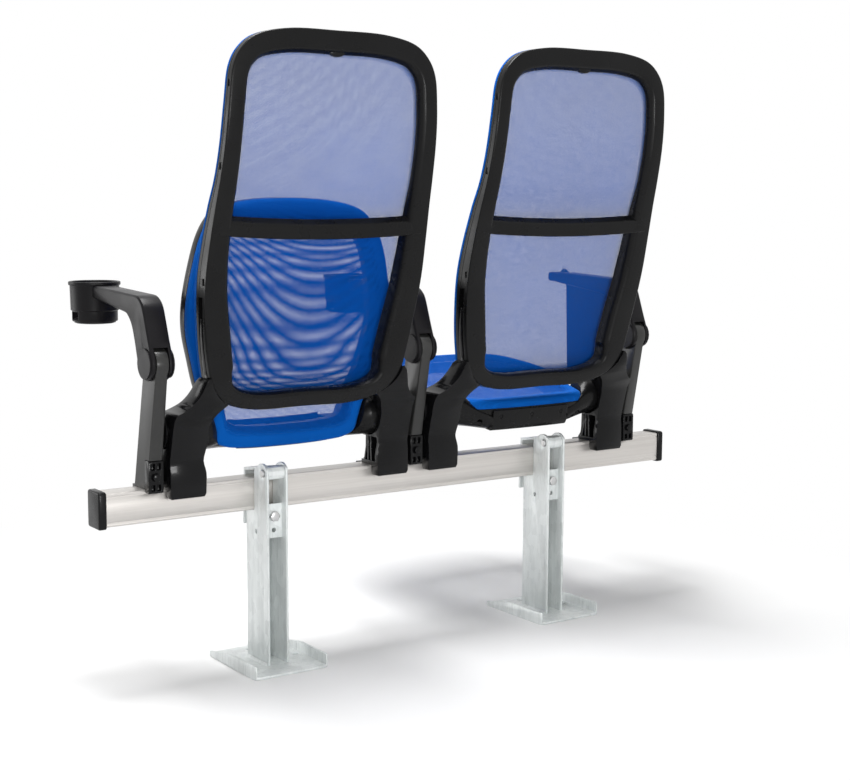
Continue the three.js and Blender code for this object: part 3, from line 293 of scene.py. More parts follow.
# Materials
class Graph:
    """The nodes of a material or of the world, with short ways to add and join them."""

    def __init__(self, owner):
        owner.use_nodes = True
        self.nodes = owner.node_tree.nodes
        self.links = owner.node_tree.links

    def feed(self, socket, value):
        """Gives the socket another node's output, a colour or a number."""
        if isinstance(value, bpy.types.NodeSocket):
            self.links.new(value, socket)
        elif socket.type == "RGBA":
            socket.default_value = (*value, 1)
        else:
            socket.default_value = value

    def node(self, kind, inputs=None, **settings):
        node = self.nodes.new(f"ShaderNode{kind}")
        for name, value in settings.items():
            setattr(node, name, value)
        for socket, value in (inputs or {}).items():
            self.feed(node.inputs[socket], value)
        return node

    def math(self, operation, *values):
        return self.node("Math", dict(enumerate(values)), operation=operation).outputs["Value"]

    def spread(self, factor, low, high, start=0.3, end=0.7):
        """Goes from low to high while the factor goes from start to end."""
        return self.node("MapRange", {
            "Value": factor, "From Min": start, "From Max": end, "To Min": low, "To Max": high,
        }).outputs["Result"]

    def mix_shader(self, factor, first, second):
        return self.node("MixShader", {"Fac": factor, 1: first, 2: second}).outputs["Shader"]

    def seen(self):
        """One for what the camera sees, also in a mirror or through glass; zero for light."""
        rays = self.node("LightPath")
        seen = rays.outputs["Is Camera Ray"]
        for name in ("Is Glossy Ray", "Is Transmission Ray"):
            seen = self.math("MAXIMUM", seen, rays.outputs[name])
        return seen


class Paint(Graph):
    """A principled material with its colour, roughness and bump made from nodes."""

    def __init__(self, name, **constants):
        self.material = bpy.data.materials.new(name)
        super().__init__(self.material)
        self.shader = self.nodes["Principled BSDF"]
        for socket, value in constants.items():
            self.feed(self.shader.inputs[socket.replace("_", " ")], value)
        self.place = self.node("TexCoord").outputs["Object"]
        self.normal = None

    def stretched(self, scale, place=None):
        return self.node(
            "Mapping", {"Scale": scale, "Vector": place or self.place}).outputs["Vector"]

    def noise(self, scale, detail=3.0, stretch=(1, 1, 1), roughness=0.5, place=None):
        return self.node("TexNoise", {
            "Scale": scale, "Detail": detail, "Roughness": roughness,
            "Vector": self.stretched(stretch, place)}).outputs["Fac"]

    def cells(self, scale, stretch):
        node = self.node("TexVoronoi", {"Scale": scale, "Vector": self.stretched(stretch)})
        return self.node("SeparateColor", {"Color": node.outputs["Color"]}).outputs["Red"]

    def blend_colours(self, factor, a, b):
        node = self.node("Mix", {"Factor": factor, 6: a, 7: b}, data_type="RGBA")
        return node.outputs[2]

    def colour(self, source):
        self.feed(self.shader.inputs["Base Color"], source)

    def rough(self, source):
        self.feed(self.shader.inputs["Roughness"], source)

    def turn_normal(self, node):
        self.normal = node.outputs["Normal"]
        self.feed(self.shader.inputs["Normal"], self.normal)

    def edges(self, radius):
        self.turn_normal(self.node("Bevel", {"Radius": radius}, samples=4))

    def edge_mask(self):
        """One near edges, where wear and a painted highlight go, zero on flat places."""
        plain = self.node("NewGeometry").outputs["Normal"]
        dot = self.node("VectorMath", {0: self.normal, 1: plain}, operation="DOT_PRODUCT")
        return self.spread(dot.outputs["Value"], 1, 0, start=0.8, end=0.98)

    def bump(self, height, distance):
        node = self.node("Bump", {"Distance": distance, "Strength": 1.0, "Height": height})
        if self.normal is not None:
            self.feed(node.inputs["Normal"], self.normal)
        self.turn_normal(node)


PAINTS = {}


def plastic(name, dark, light, rough, grain, wear_and_edge_highlight, specular, coat=0.0):
    """Moulded plastic, or smooth paint, that drifts in tone and shine, with edges lightened in
    patches, partly as wear and partly as a painted highlight.
    """
    paint = Paint(name, Coat_Weight=coat, Coat_Roughness=0.08, Specular_IOR_Level=specular)
    paint.edges(radius=0.0012)
    # Edges lighten in noisy patches: partly wear, partly a painted highlight along the edges
    edge_patches = paint.spread(paint.noise(scale=70, detail=4), 0, 0.6)
    wear_and_highlight_mask = paint.math("MULTIPLY", paint.edge_mask(), edge_patches)
    drift = paint.spread(paint.noise(scale=9, detail=5), 0, 1)
    paint.colour(paint.blend_colours(wear_and_highlight_mask, paint.blend_colours(drift, dark, light), wear_and_edge_highlight))
    paint.rough(paint.spread(paint.noise(scale=24, detail=6), *rough))
    paint.bump(paint.noise(scale=900, detail=2), distance=grain)
    PAINTS[name] = paint.material


# Zinc: how much brighter its crystals are, and how much duller its clouds
CRYSTAL_GAIN, CLOUD_GAIN = 1.16, 0.8


def metal(name, dark, light, rough, stretch, metallic=1.0, spangle=0.0):
    """Metal with streaks along its make, and with the crystals of zinc where it has spangle."""
    paint = Paint(name, Metallic=metallic)
    paint.edges(radius=0.0008)
    streak = paint.noise(scale=6, detail=6, stretch=stretch, roughness=0.65)
    tone = paint.blend_colours(paint.spread(streak, 0, 1), dark, light)
    if spangle:
        cells = paint.cells(scale=85, stretch=(1, 1, 0.55))
        crystal = tuple(min(1.0, c * CRYSTAL_GAIN) for c in light)
        tone = paint.blend_colours(paint.math("MULTIPLY", cells, spangle), tone, crystal)
        cloud = paint.noise(scale=14, detail=5, stretch=(1, 1, 0.4))
        cloud = paint.spread(cloud, 0, 0.55, start=0.45, end=0.75)
        tone = paint.blend_colours(cloud, tone, tuple(c * CLOUD_GAIN for c in dark))
    paint.colour(tone)
    paint.rough(paint.spread(paint.noise(scale=30, detail=5, stretch=stretch), *rough))
    paint.bump(paint.noise(scale=420, stretch=stretch), distance=0.00004)
    PAINTS[name] = paint.material


# Blues of the net: doubled under the hem, single in the open, and a painted shade on the threads'
# edges beside the holes
HEM_BLUES = (0.0012, 0.085, 0.39), (0.002, 0.108, 0.47)
OPEN_BLUES = (0.0012, 0.075, 0.38), (0.002, 0.09, 0.44)
THREAD_EDGE_SHADE = (0.0008, 0.045, 0.24)
# How many long patches of thicker and thinner thread there are in a metre, each way
ACROSS_THREADS, ALONG_THREADS = (28, 420, 1), (420, 28, 1)
SLACK_SHARE = 0.08


def cloth(name, across, along, gap):
    """An open net of blue threads, with its holes on the sheet's own lengths in metres.

    The gap is the share of the pitch that a hole takes, and it varies with the threads.
    """
    paint = Paint(name, Sheen_Weight=0.16, Sheen_Roughness=0.3, Sheen_Tint=(0.4, 0.65, 1),
                  Specular_IOR_Level=0.04)
    lengths = paint.node("UVMap", uv_map="lengths").outputs["UV"]
    parts = paint.node("SeparateXYZ", {"Vector": lengths}).outputs
    waves = []
    for axis, pitch in (("X", across), ("Y", along)):
        share = paint.math("FRACT", paint.math("MULTIPLY", parts[axis], 1 / pitch))
        waves.append(paint.math("ABSOLUTE", paint.math("SUBTRACT", share, 0.5)))
    from_hole = paint.math("MAXIMUM", *waves)
    threads = [paint.noise(scale=1, detail=2, stretch=stretch, place=lengths)
               for stretch in (ACROSS_THREADS, ALONG_THREADS)]
    slack = SLACK_SHARE * gap
    opening = paint.math("MULTIPLY_ADD", paint.math("ADD", *threads), slack, gap / 2 - slack)
    single = paint.node("Attribute", attribute_name="single").outputs["Fac"]
    hole = paint.math("MULTIPLY", single, paint.math("LESS_THAN", from_hole, opening))
    drift = paint.spread(paint.noise(scale=5, detail=4), 0, 1)
    tone = paint.blend_colours(single, paint.blend_colours(drift, *HEM_BLUES),
                               paint.blend_colours(drift, *OPEN_BLUES))
    # Threads darken toward the holes' edges: painted shade where each thread turns away from the
    # light
    thread_edge_shade = paint.spread(from_hole, 0.35, 0, start=0.3, end=0.45)
    paint.colour(paint.blend_colours(thread_edge_shade, tone, THREAD_EDGE_SHADE))
    paint.rough(paint.spread(paint.noise(scale=60), 0.62, 0.8))
    paint.bump(from_hole, distance=0.0004)
    clear = paint.node("BsdfTransparent").outputs["BSDF"]
    paint.feed(paint.nodes["Material Output"].inputs["Surface"],
               paint.mix_shader(hole, paint.shader.outputs["BSDF"], clear))
    PAINTS[name] = paint.material


# Each edge tone below is a lighter colour at the edges: partly wear, partly a painted highlight
plastic("black_plastic", dark=(0.004, 0.004, 0.0042), light=(0.0065, 0.0065, 0.0068),
        rough=(0.22, 0.36), grain=0.00006, wear_and_edge_highlight=(0.03, 0.03, 0.032), specular=0.13, coat=0.06)
plastic("arm_plastic", dark=(0.006, 0.0055, 0.0065), light=(0.008, 0.0075, 0.0085),
        rough=(0.3, 0.42), grain=0.00005, wear_and_edge_highlight=(0.03, 0.03, 0.032), specular=0.14)
plastic("gloss_black", dark=(0.003, 0.003, 0.0034), light=(0.005, 0.005, 0.0056),
        rough=(0.12, 0.24), grain=0.00008, wear_and_edge_highlight=(0.05, 0.05, 0.055), specular=0.1, coat=0.14)
plastic("post_paint", dark=(0.018, 0.018, 0.0175), light=(0.026, 0.026, 0.025),
        rough=(0.28, 0.4), grain=0.00004, wear_and_edge_highlight=(0.09, 0.09, 0.09), specular=0.35, coat=0.1)
metal("beam_aluminium", dark=(0.56, 0.535, 0.51), light=(0.66, 0.635, 0.605),
      rough=(0.3, 0.42), stretch=(0.25, 30, 30), metallic=0.7)
metal("zinc_steel", dark=(0.6, 0.635, 0.63), light=(0.78, 0.81, 0.805),
      rough=(0.26, 0.42), stretch=(14, 14, 0.8), metallic=0.12, spangle=0.5)
metal("bright_steel", dark=(0.5, 0.5, 0.5), light=(0.62, 0.62, 0.62),
      rough=(0.25, 0.4), stretch=(8, 8, 8))
cloth("back_net", across=0.0018, along=0.0018, gap=0.61)
cloth("seat_net", across=0.00187, along=0.00186, gap=0.6)


def place_piece(obj, body, paint, node):
    obj.data.materials.clear()
    obj.data.materials.append(PAINTS[paint])
    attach(obj, body)
    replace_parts(obj, node)


# Nets
NET_ROWS, NET_THICKNESS = 16, 0.35


def sheet_object(name, edges, surface, lengths, matrix):
    """A thin sheet: the edge strips first, then rows that shrink toward the middle."""
    stations, strip_count = len(edges), len(edges[0])
    middle = sum((strip[-1] for strip in edges), Vector()) / stations
    vertices = []
    for strip in edges:
        vertices += strip
        vertices += [surface(strip[-1].lerp(middle, k / NET_ROWS)) for k in range(1, NET_ROWS)]
    vertices.append(surface(middle))
    count = strip_count + NET_ROWS - 1
    faces = []
    for i in range(stations):
        near, far = i * count, ((i + 1) % stations) * count
        for j in range(count - 1):
            faces.append((near + j, near + j + 1, far + j + 1, far + j))
        faces.append((near + count - 1, stations * count, far + count - 1))
    obj = mesh_object(name, vertices, faces, matrix)
    layer = obj.data.uv_layers.new(name="lengths")
    places = [lengths(v) for v in vertices]
    for loop in obj.data.loops:
        u, v = places[loop.vertex_index]
        layer.data[loop.index].uv = (u * MM, v * MM)
    single = ([0.0] * strip_count + [1.0] * (NET_ROWS - 1)) * stations + [1.0]
    obj.data.attributes.new("single", "FLOAT", "POINT").data.foreach_set("value", single)
    modifier = obj.modifiers.new("thickness", "SOLIDIFY")
    modifier.thickness = NET_THICKNESS * MM
    modifier.offset = 0
    bake_modifiers(obj)
    smooth(obj, angle=60)
    return obj


# How far a cut runs past the surface that it opens, in millimetres
CUT_OVERRUN = 9.0


# Backs, in millimetres. The tables pair shares of the height with shares of the half width, of
# the lean, or of the change from foot to head
BACK_BOTTOM, BACK_TOP, BACK_HALF = 484.0, 1142.0, 221.0
BACK_HEIGHT = BACK_TOP - BACK_BOTTOM
BACK_OUTLINE_SHARES = [
    (0, 0), (0.45, 0), (0.68, 0.017), (0.81, 0.045), (0.885, 0.084), (0.925, 0.138),
    (0.98, 0.267), (1, 0.359), (0.992, 0.46), (0.962, 0.632), (0.936, 0.815), (0.906, 0.9),
    (0.842, 0.942), (0.72, 0.976), (0.45, 0.997), (0, 1),
]
BACK_REAR_SHARES = share_samples([
    (0, 0), (0.085, 0.15), (0.176, 0.225), (0.359, 0.417), (0.541, 0.654), (0.632, 0.79),
    (0.723, 0.897), (0.815, 0.957), (1, 1)])
BACK_DEPTH_SHARES = share_samples([(0, 0), (0.36, 0.04), (0.541, 0.45), (0.66, 0.88), (1, 1)])
BACK_RIM_SHARES = share_samples([
    (0, 0), (0.17, 0.05), (0.34, 0.42), (0.55, 0.8), (0.78, 1), (1, 1)])
BACK_STATIONS = 200
FOOT_Y, BACK_LEAN = 84.0, 127.0
FOOT_DEPTH, HEAD_DEPTH = 37.0, 18.0
FOOT_SIDE, HEAD_SIDE, FOOT_RAIL, HEAD_RAIL = 50.0, 28.0, 25.0, 33.0
# The rim's inner wall steps back by its draft, and a groove runs round its outer wall
RIM_DRAFT, RIM_STEP = 7.0, 12.0
RIM_ROUNDS = (2.5, 0, 0, 0, 3.5, 5, 5, 2.5)
GROOVE_SHARE, GROOVE_HALF, GROOVE_DEPTH = 0.66, 0.9, 0.8
RECESS_FOOT, RECESS_HEAD, RECESS_STEPS = 526.0, 690.0, 12
RECESS_DEPTH, RECESS_BEHIND, RECESS_WIDTH = 10.0, 11.0, 16.0
BAR_Z, BAR_BOW, BAR_STEPS = 807.0, 8.0, 24
BAR_SINK, BAR_BEHIND, BAR_HALF, BAR_DEPTH, BAR_SLOPE = 14.0, 1.5, 12.0, 12.0, 12.0
BAR_ROUNDS = (3, 4, 1.5, 1.5)
LUG_HALF, LUG_DROP, LUG_DEPTH, LUG_STEPS = 15.0, 9.0, 8.0, 40
LUG_SINK, LUG_RISE, LUG_BEHIND, LUG_CHAMFER, LUG_FACE_SHARE = 3.5, 1.5, 6.0, 1.0, 0.86
CLIP_HEIGHTS = (716.0, 911.0, 1046.0)
CLIP_DEPTH, CLIP_BEHIND, CLIP_WIDTH, CLIP_HALF = 2.2, 5.5, 8.0, 6.0
# How far inward and ahead of the rim's outer front edge the net's wrapped edge lies
BACK_NET_AHEAD = 7.8
BACK_HEM = ((0.6, 0.5), (0.2, 3), (0.4, 5.4), (1.6, 7.2), (4, 8), (12, 8), (24, BACK_NET_AHEAD))
# Whole millimetres below and above the back for which lengths along it are known
ARC_BELOW, ARC_ABOVE = 40, 52


def back_share(z):
    return (z - BACK_BOTTOM) / BACK_HEIGHT


def back_rear(z):
    return FOOT_Y + BACK_LEAN * curve_at(BACK_REAR_SHARES, back_share(z))


def back_depth(z):
    return mix(FOOT_DEPTH, HEAD_DEPTH, curve_at(BACK_DEPTH_SHARES, back_share(z)))


def back_front(z):
    return back_rear(z) - back_depth(z)


back_outline = symmetric_outline(
    [(w * BACK_HALF, BACK_BOTTOM + h * BACK_HEIGHT) for w, h in BACK_OUTLINE_SHARES],
    BACK_STATIONS)
back_inward = inward_normals(back_outline)


def rim_width(i):
    height = back_share(back_outline[i][1])
    side = mix(FOOT_SIDE, HEAD_SIDE, curve_at(BACK_RIM_SHARES, height))
    return mix(side, mix(FOOT_RAIL, HEAD_RAIL, height), abs(back_inward[i][1]))


def rim_point(i, w, d):
    """The point w inward from the outline and d ahead of the rear face."""
    (x, z), (a, b) = back_outline[i], back_inward[i]
    height = z + b * w
    return Vector((x + a * w, back_rear(height) - d, height))


def rim_front(i, w, ahead):
    """The point w inward along the rim's front, and ahead of it."""
    depth = back_depth(back_outline[i][1])
    width = rim_width(i) + RIM_DRAFT
    point = rim_point(i, 0, depth).lerp(rim_point(i, width, depth), w / width)
    point.y -= ahead
    return point


def back_half_width(z):
    half = back_outline[:BACK_STATIONS // 2 + 1]
    for (x0, z0), (x1, z1) in zip(half, half[1:]):
        if z1 > z:
            return mix(x0, x1, (z - z0) / (z1 - z0))
    return 0.0


def back_profile(i):
    width, depth = rim_width(i), back_depth(back_outline[i][1])
    groove = depth * GROOVE_SHARE
    corners = [
        (0, depth), (0, groove + GROOVE_HALF), (GROOVE_DEPTH, groove), (0, groove - GROOVE_HALF),
        (0, 0), (width, 0), (width + RIM_DRAFT, RIM_STEP), (width + RIM_DRAFT, depth),
    ]
    return rounded(corners, RIM_ROUNDS)


def recess_object(name, end, matrix):
    """The cut for the long hollow low in the frame's side."""
    rings = []
    for i in range(RECESS_STEPS + 1):
        z = mix(RECESS_FOOT, RECESS_HEAD, i / RECESS_STEPS)
        half, rear = back_half_width(z), back_rear(z) - RECESS_BEHIND
        inner, outer, front = half - RECESS_DEPTH, half + CUT_OVERRUN, rear - RECESS_WIDTH
        rings.append([(end * x, y, z) for x, y in (
            (inner, rear), (outer, rear), (outer, front), (inner, front))])
    return loft_object(name, rings, matrix)


def cross_bar(name, matrix):
    """The bowed bar across the back, level with the change from the lower to the upper net."""
    reach = back_half_width(BAR_Z) - BAR_SINK
    rear = back_rear(BAR_Z) - BAR_BEHIND
    front = rear - BAR_DEPTH
    rings = []
    for i in range(BAR_STEPS + 1):
        share = mix(-1, 1, i / BAR_STEPS)
        z = BAR_Z - BAR_BOW * (1 - share * share)
        profile = rounded([
            (rear, z - BAR_HALF), (rear, z + BAR_HALF), (front, z + BAR_HALF + BAR_SLOPE),
            (front, z - BAR_HALF)], BAR_ROUNDS)
        rings.append([(share * reach, y, height) for y, height in profile])
    return loft_object(name, rings, matrix)


def top_lug(name, matrix):
    """The half-round lug that hangs from the middle of the top rail."""
    edge = BACK_TOP - HEAD_RAIL - LUG_SINK
    rear = back_rear(edge) - LUG_BEHIND
    rings = []
    for y, share in ((rear, LUG_FACE_SHARE), (rear - LUG_CHAMFER, 1), (rear - LUG_DEPTH, 1)):
        rings.append([(x, y, edge + LUG_RISE + z)
                      for x, z in ellipse(LUG_HALF * share, LUG_DROP * share, LUG_STEPS)])
    return loft_object(name, rings, matrix)


def clip_slot(name, end, height, matrix):
    """The cut for a small pocket, where a clip is pressed in to hold the net's hem."""
    half, rear = back_half_width(height), back_rear(height) - CLIP_BEHIND
    return box_object(
        name, (end * (half - CLIP_DEPTH), rear - CLIP_WIDTH, height - CLIP_HALF),
        (end * (half + CUT_OVERRUN), rear, height + CLIP_HALF), matrix)


def back_surface(point):
    return Vector((point.x, back_front(point.z) - BACK_NET_AHEAD, point.z))


def measure_back():
    """Lengths along the back's front, at whole millimetres of height."""
    lengths = [0.0]
    for k in range(-ARC_BELOW, round(BACK_HEIGHT) + ARC_ABOVE):
        z = BACK_BOTTOM + k
        lengths.append(lengths[-1] + math.hypot(1, back_front(z + 1) - back_front(z)))
    return lengths


BACK_ARC = measure_back()


def back_lengths(point):
    """Lengths across and along the back's net."""
    place = point.z - BACK_BOTTOM + ARC_BELOW
    i = max(0, min(len(BACK_ARC) - 2, int(place)))
    return point.x, mix(BACK_ARC[i], BACK_ARC[i + 1], place - i)


def make_back(side):
    matrix = to_back(side)
    rings = [[rim_point(i, w, d) for w, d in back_profile(i)] for i in range(BACK_STATIONS)]
    shell = ring_object(f"{side}_back_shell", rings, matrix)
    boolean(shell, [cross_bar("bar", matrix), top_lug("lug", matrix)], "UNION")
    cutters = [recess_object("recess", end, matrix) for end in (-1, 1)]
    cutters += [clip_slot("slot", end, z, matrix) for end in (-1, 1) for z in CLIP_HEIGHTS]
    boolean(shell, cutters, "DIFFERENCE")
    smooth(shell, angle=38)
    place_piece(shell, "frame", "black_plastic", f"{side}_back_frame")
    edges = [[rim_front(i, w, ahead) for w, ahead in BACK_HEM] for i in range(BACK_STATIONS)]
    net = sheet_object(f"{side}_back_net", edges, back_surface, back_lengths, matrix)
    place_piece(net, "frame", "back_net", f"{side}_back_mesh")


# Seats, in millimetres, in the seat's own frame: Y runs back from the hinge, and the names
# that end in N are heights over the hinge, across the seat's plane
SEAT_HALF, SEAT_REACH, SEAT_TAIL = 211.0, 413.0, 44.0
SEAT_HALF_LENGTH = (SEAT_REACH + SEAT_TAIL) / 2
SEAT_MIDDLE = SEAT_REACH - SEAT_HALF_LENGTH
SEAT_STATIONS = 168
SEAT_TAIL_SHARES = [(0, -1), (0.42, -0.95), (0.6, -0.84), (0.69, -0.6), (0.725, -0.05)]
SEAT_FRONT_SHARES = [
    (0.765, 0.07), (0.86, 0.165), (0.935, 0.3), (0.99, 0.42), (1, 0.52), (0.965, 0.66),
    (0.885, 0.82), (0.8, 0.9), (0.7, 0.95), (0.48, 0.985), (0, 1),
]
SEAT_CROWN, SEAT_NOSE_DROP, SEAT_NOSE_SHARE = 3.0, 14.0, 0.72
SEAT_RIM_PROFILE = ((0, -1.5), (0, -13), (2, -26), (36, -26), (38, -13), (38, -1.5))
SEAT_RIM_ROUNDS = (1.5, 5, 5, 5, 5, 1.5)
SEAT_CLIP_SHARE, SEAT_CLIP_DEPTH, SEAT_CLIP_REACH, SEAT_CLIP_N = 0.985, 1.0, 240.0, -12.0
# How far inward, and how high, the net's wrapped edge lies, and how high its middle
SEAT_HEM = (
    (0.4, -0.8), (0.2, 5), (0.8, 9.4), (2.4, 12.6), (5.4, 14.8), (10, 15.4), (20, 15.2))
SEAT_NET_N, SEAT_SAG = 14.5, 7.0
# The seat's net is pulled longer than the back's, and its threads crowd toward one corner
NET_PULL, NET_CROWDING, NET_EVEN_S = 0.93, 0.0005, 103.0
NET_CROWDING_ACROSS, NET_EVEN_X = 0.0002, -123.0
seat_outline = symmetric_outline(
    [(w * SEAT_HALF, s * SEAT_TAIL) for w, s in SEAT_TAIL_SHARES]
    + [(w * SEAT_HALF, s * SEAT_REACH) for w, s in SEAT_FRONT_SHARES], SEAT_STATIONS)


def along_seat(s):
    """Minus one at the tail, one at the front edge."""
    return (s - SEAT_MIDDLE) / SEAT_HALF_LENGTH


def seat_level(s):
    start = SEAT_REACH * SEAT_NOSE_SHARE
    dip = max(0.0, (s - start) / (SEAT_REACH - start))
    return SEAT_CROWN * (1 - along_seat(s) ** 2) - SEAT_NOSE_DROP * dip * dip


def seat_point(i, w, n):
    """The point w inward from the outline, at the height n."""
    x, s = seat_outline[i]
    s -= along_seat(s) * w
    return Vector((x - x / SEAT_HALF * w, -s, n + seat_level(s)))


def seat_surface(point):
    s, across = -point.y, min(1.0, abs(point.x) / SEAT_HALF)
    sag = SEAT_SAG * max(0.0, 1 - across * across) * max(0.0, 1 - along_seat(s) ** 2)
    return Vector((point.x, point.y, SEAT_NET_N - sag + seat_level(s)))


def seat_lengths(point):
    """Lengths across and along the seat's net."""
    x, s = point.x, -point.y
    return (x + NET_CROWDING_ACROSS * (x - NET_EVEN_X) ** 2,
            s * NET_PULL + NET_CROWDING * (s - NET_EVEN_S) ** 2)


def seat_clip_slot(name, end, matrix):
    reach = SEAT_HALF * SEAT_CLIP_SHARE
    return box_object(
        name,
        (end * (reach - SEAT_CLIP_DEPTH), -SEAT_CLIP_REACH - CLIP_HALF, SEAT_CLIP_N - CLIP_WIDTH),
        (end * (reach + CUT_OVERRUN), -SEAT_CLIP_REACH + CLIP_HALF, SEAT_CLIP_N), matrix)


def make_seat(side):
    matrix = to_seat(side)
    body = f"{side}_seat"
    profile = rounded(SEAT_RIM_PROFILE, SEAT_RIM_ROUNDS)
    rings = [[seat_point(i, w, n) for w, n in profile] for i in range(SEAT_STATIONS)]
    shell = ring_object(f"{side}_seat_shell", rings, matrix)
    boolean(shell, [seat_clip_slot("slot", end, matrix) for end in (-1, 1)], "DIFFERENCE")
    smooth(shell, angle=50)
    place_piece(shell, body, "black_plastic", f"{side}_seat_frame")
    edges = [[seat_point(i, w, n) for w, n in SEAT_HEM] for i in range(SEAT_STATIONS)]
    net = sheet_object(f"{side}_seat_net", edges, seat_surface, seat_lengths, matrix)
    place_piece(net, body, "seat_net", f"{side}_seat_mesh")


# Rear covers, in the seat's own frame: a wall behind the tail that returns under it
COVER_HALF, COVER_STEPS = 96.0, 48
COVER_TOP_N, COVER_KNEE_N, COVER_FOOT_N = -4.0, -38.0, -47.0
COVER_GAP, COVER_WALL, COVER_TOE, COVER_RETURN = 0.3, 4.0, 1.0, 42.0
COVER_INNER_KNEE_N = COVER_KNEE_N + 2.0
COVER_ROUNDS = (0, 1.5, 6, 4, 1, 1, 3, 4)
COVER_EASE = 0.7
COVER_ANGLE = 40
SCREWS_X, SCREWS_N = (-77.0, 0.0, 77.0), -17.0
POCKET_RADIUS, POCKET_DEPTH = 4.6, 1.8
SCREW_RADIUS, SCREW_SINK, SCREW_ROOT = 3.1, 0.7, 2.4


def tail_at(x):
    """How far behind the hinge the seat's edge is, beside its middle."""
    tail = [(a, -b) for a, b in seat_outline[:SEAT_STATIONS // 4]]
    return curve_at(tail, x)


def make_cover(side):
    matrix = to_seat(side)
    floor = COVER_FOOT_N + COVER_WALL
    rings = []
    for i in range(COVER_STEPS + 1):
        x = mix(-COVER_HALF, COVER_HALF, i / COVER_STEPS)
        inner = tail_at(abs(x)) + COVER_GAP
        outer, toe, end = inner + COVER_WALL, inner - COVER_TOE, inner - COVER_RETURN
        corners = [
            (inner, COVER_TOP_N), (outer, COVER_TOP_N), (outer, COVER_KNEE_N),
            (toe, COVER_FOOT_N), (end, COVER_FOOT_N), (end, floor), (toe - COVER_WALL, floor),
            (inner, COVER_INNER_KNEE_N)]
        rings.append([(x, y, n) for y, n in rounded(corners, COVER_ROUNDS)])
    cover = loft_object(f"{side}_seat_cover", rings, matrix)
    pockets, screws = [], []
    for x in SCREWS_X:
        face = tail_at(abs(x)) + COVER_GAP + COVER_WALL
        pockets.append(round_object(
            "pocket", x, SCREWS_N, POCKET_RADIUS, face - POCKET_DEPTH, face + CUT_OVERRUN, matrix))
        screws.append(round_object(
            "screw", x, SCREWS_N, SCREW_RADIUS, face - SCREW_ROOT, face - SCREW_SINK, matrix))
    boolean(cover, pockets, "DIFFERENCE")
    boolean(cover, screws, "UNION")
    soften(cover, COVER_EASE, COVER_ANGLE)
    smooth(cover, COVER_ANGLE)
    place_piece(cover, f"{side}_seat", "black_plastic", f"{side}_seat_rear_cover")


# Cup holders, in millimetres from the arm's pivot, with a window through both sides
CUP_AHEAD, CUP_TOP, CUP_BOTTOM, CUP_STEPS = 270.0, 130.0, 52.0, 96
CUP_LEDGE, CUP_RIM, CUP_FLOOR = CUP_BOTTOM + 24, CUP_TOP - 7, CUP_BOTTOM + 7
CUP_PROFILE = [
    (0, CUP_BOTTOM), (34, CUP_BOTTOM), (38, CUP_BOTTOM + 1.5), (38, CUP_BOTTOM + 4),
    (41, CUP_BOTTOM + 4), (42, CUP_BOTTOM + 5.5), (42, CUP_LEDGE - 1), (43, CUP_LEDGE),
    (44.5, CUP_LEDGE + 1), (45.5, CUP_RIM - 1), (45.7, CUP_RIM), (47.5, CUP_RIM + 0.4),
    (48, CUP_RIM + 1.5), (48, CUP_TOP - 1.5), (47.4, CUP_TOP - 0.4), (46.4, CUP_TOP),
    (44, CUP_TOP), (43, CUP_TOP - 0.5), (42.5, CUP_TOP - 1.8), (41.5, CUP_LEDGE + 4),
    (40.5, CUP_LEDGE + 3), (39.4, CUP_LEDGE + 2.2), (39, CUP_LEDGE + 1), (39, CUP_FLOOR + 3),
    (38, CUP_FLOOR + 1), (36, CUP_FLOOR), (0, CUP_FLOOR),
]
WINDOW_HALF_LENGTH, WINDOW_HALF, WINDOW_HEIGHT = 60.0, 15.0, 15.0


def make_cup(side):
    matrix = to_arm(side) @ Matrix.Translation((0, -CUP_AHEAD, 0))
    cup = lathe_object(f"{side}_cup", CUP_PROFILE, CUP_STEPS, matrix)
    window = box_object(
        "window", (-WINDOW_HALF_LENGTH, -WINDOW_HALF, CUP_FLOOR),
        (WINDOW_HALF_LENGTH, WINDOW_HALF, CUP_FLOOR + WINDOW_HEIGHT), matrix)
    boolean(cup, [window], "DIFFERENCE")
    smooth(cup, angle=35)
    place_piece(cup, f"{side}_arm", "arm_plastic", f"{side}_cup_holder")


# Pieces carried over from the frame, with round places smoothed and edges eased, in millimetres
EASED = {
    "pedestal_channel": 0.8, "base_plate": 0.8, "clamp_strap": 0.8, "seat_bracket": 1.8,
    "armrest": 2.2, "arm_post": 1.5, "post_clamp": 1.0, "beam_cap": 0.8, "writing_tablet": 1.5,
    "barrel": 1.5, "clamp_bolt": 0.5, "clamp_nut": 0.5, "post_bolt": 0.4,
}
SHARP_ANGLE = 32
# Points this near, in metres, become one, and so do faces within this many degrees
SAME_PLACE, SAME_PLANE = 2e-6, 0.6
# In the seat's own frame: the pocket in the end of each barrel, and the low and high corners
# of the room that its inner part leaves for the tail's see-through strip
BARREL_POCKET_X, BARREL_POCKET_N, BARREL_POCKET_RADIUS = 127.0, -26.0, 6.5
BARREL_POCKET_NEAR, BARREL_POCKET_FAR = 37.0, 70.0
BARREL_ROOM = (90.0, -30.0, -70.0), (130.0, 3.0, 0.0)


def hollow_barrel(obj, node):
    matrix = to_seat(node.split("_")[0])
    end = 1 if node.endswith("left_barrel") else -1
    low, high = BARREL_ROOM
    pocket = round_object(
        "pocket", end * BARREL_POCKET_X, BARREL_POCKET_N, BARREL_POCKET_RADIUS,
        BARREL_POCKET_NEAR, BARREL_POCKET_FAR, matrix)
    room = box_object("room", (end * low[0], *low[1:]), (end * high[0], *high[1:]), matrix)
    boolean(obj, [pocket, room], "DIFFERENCE")


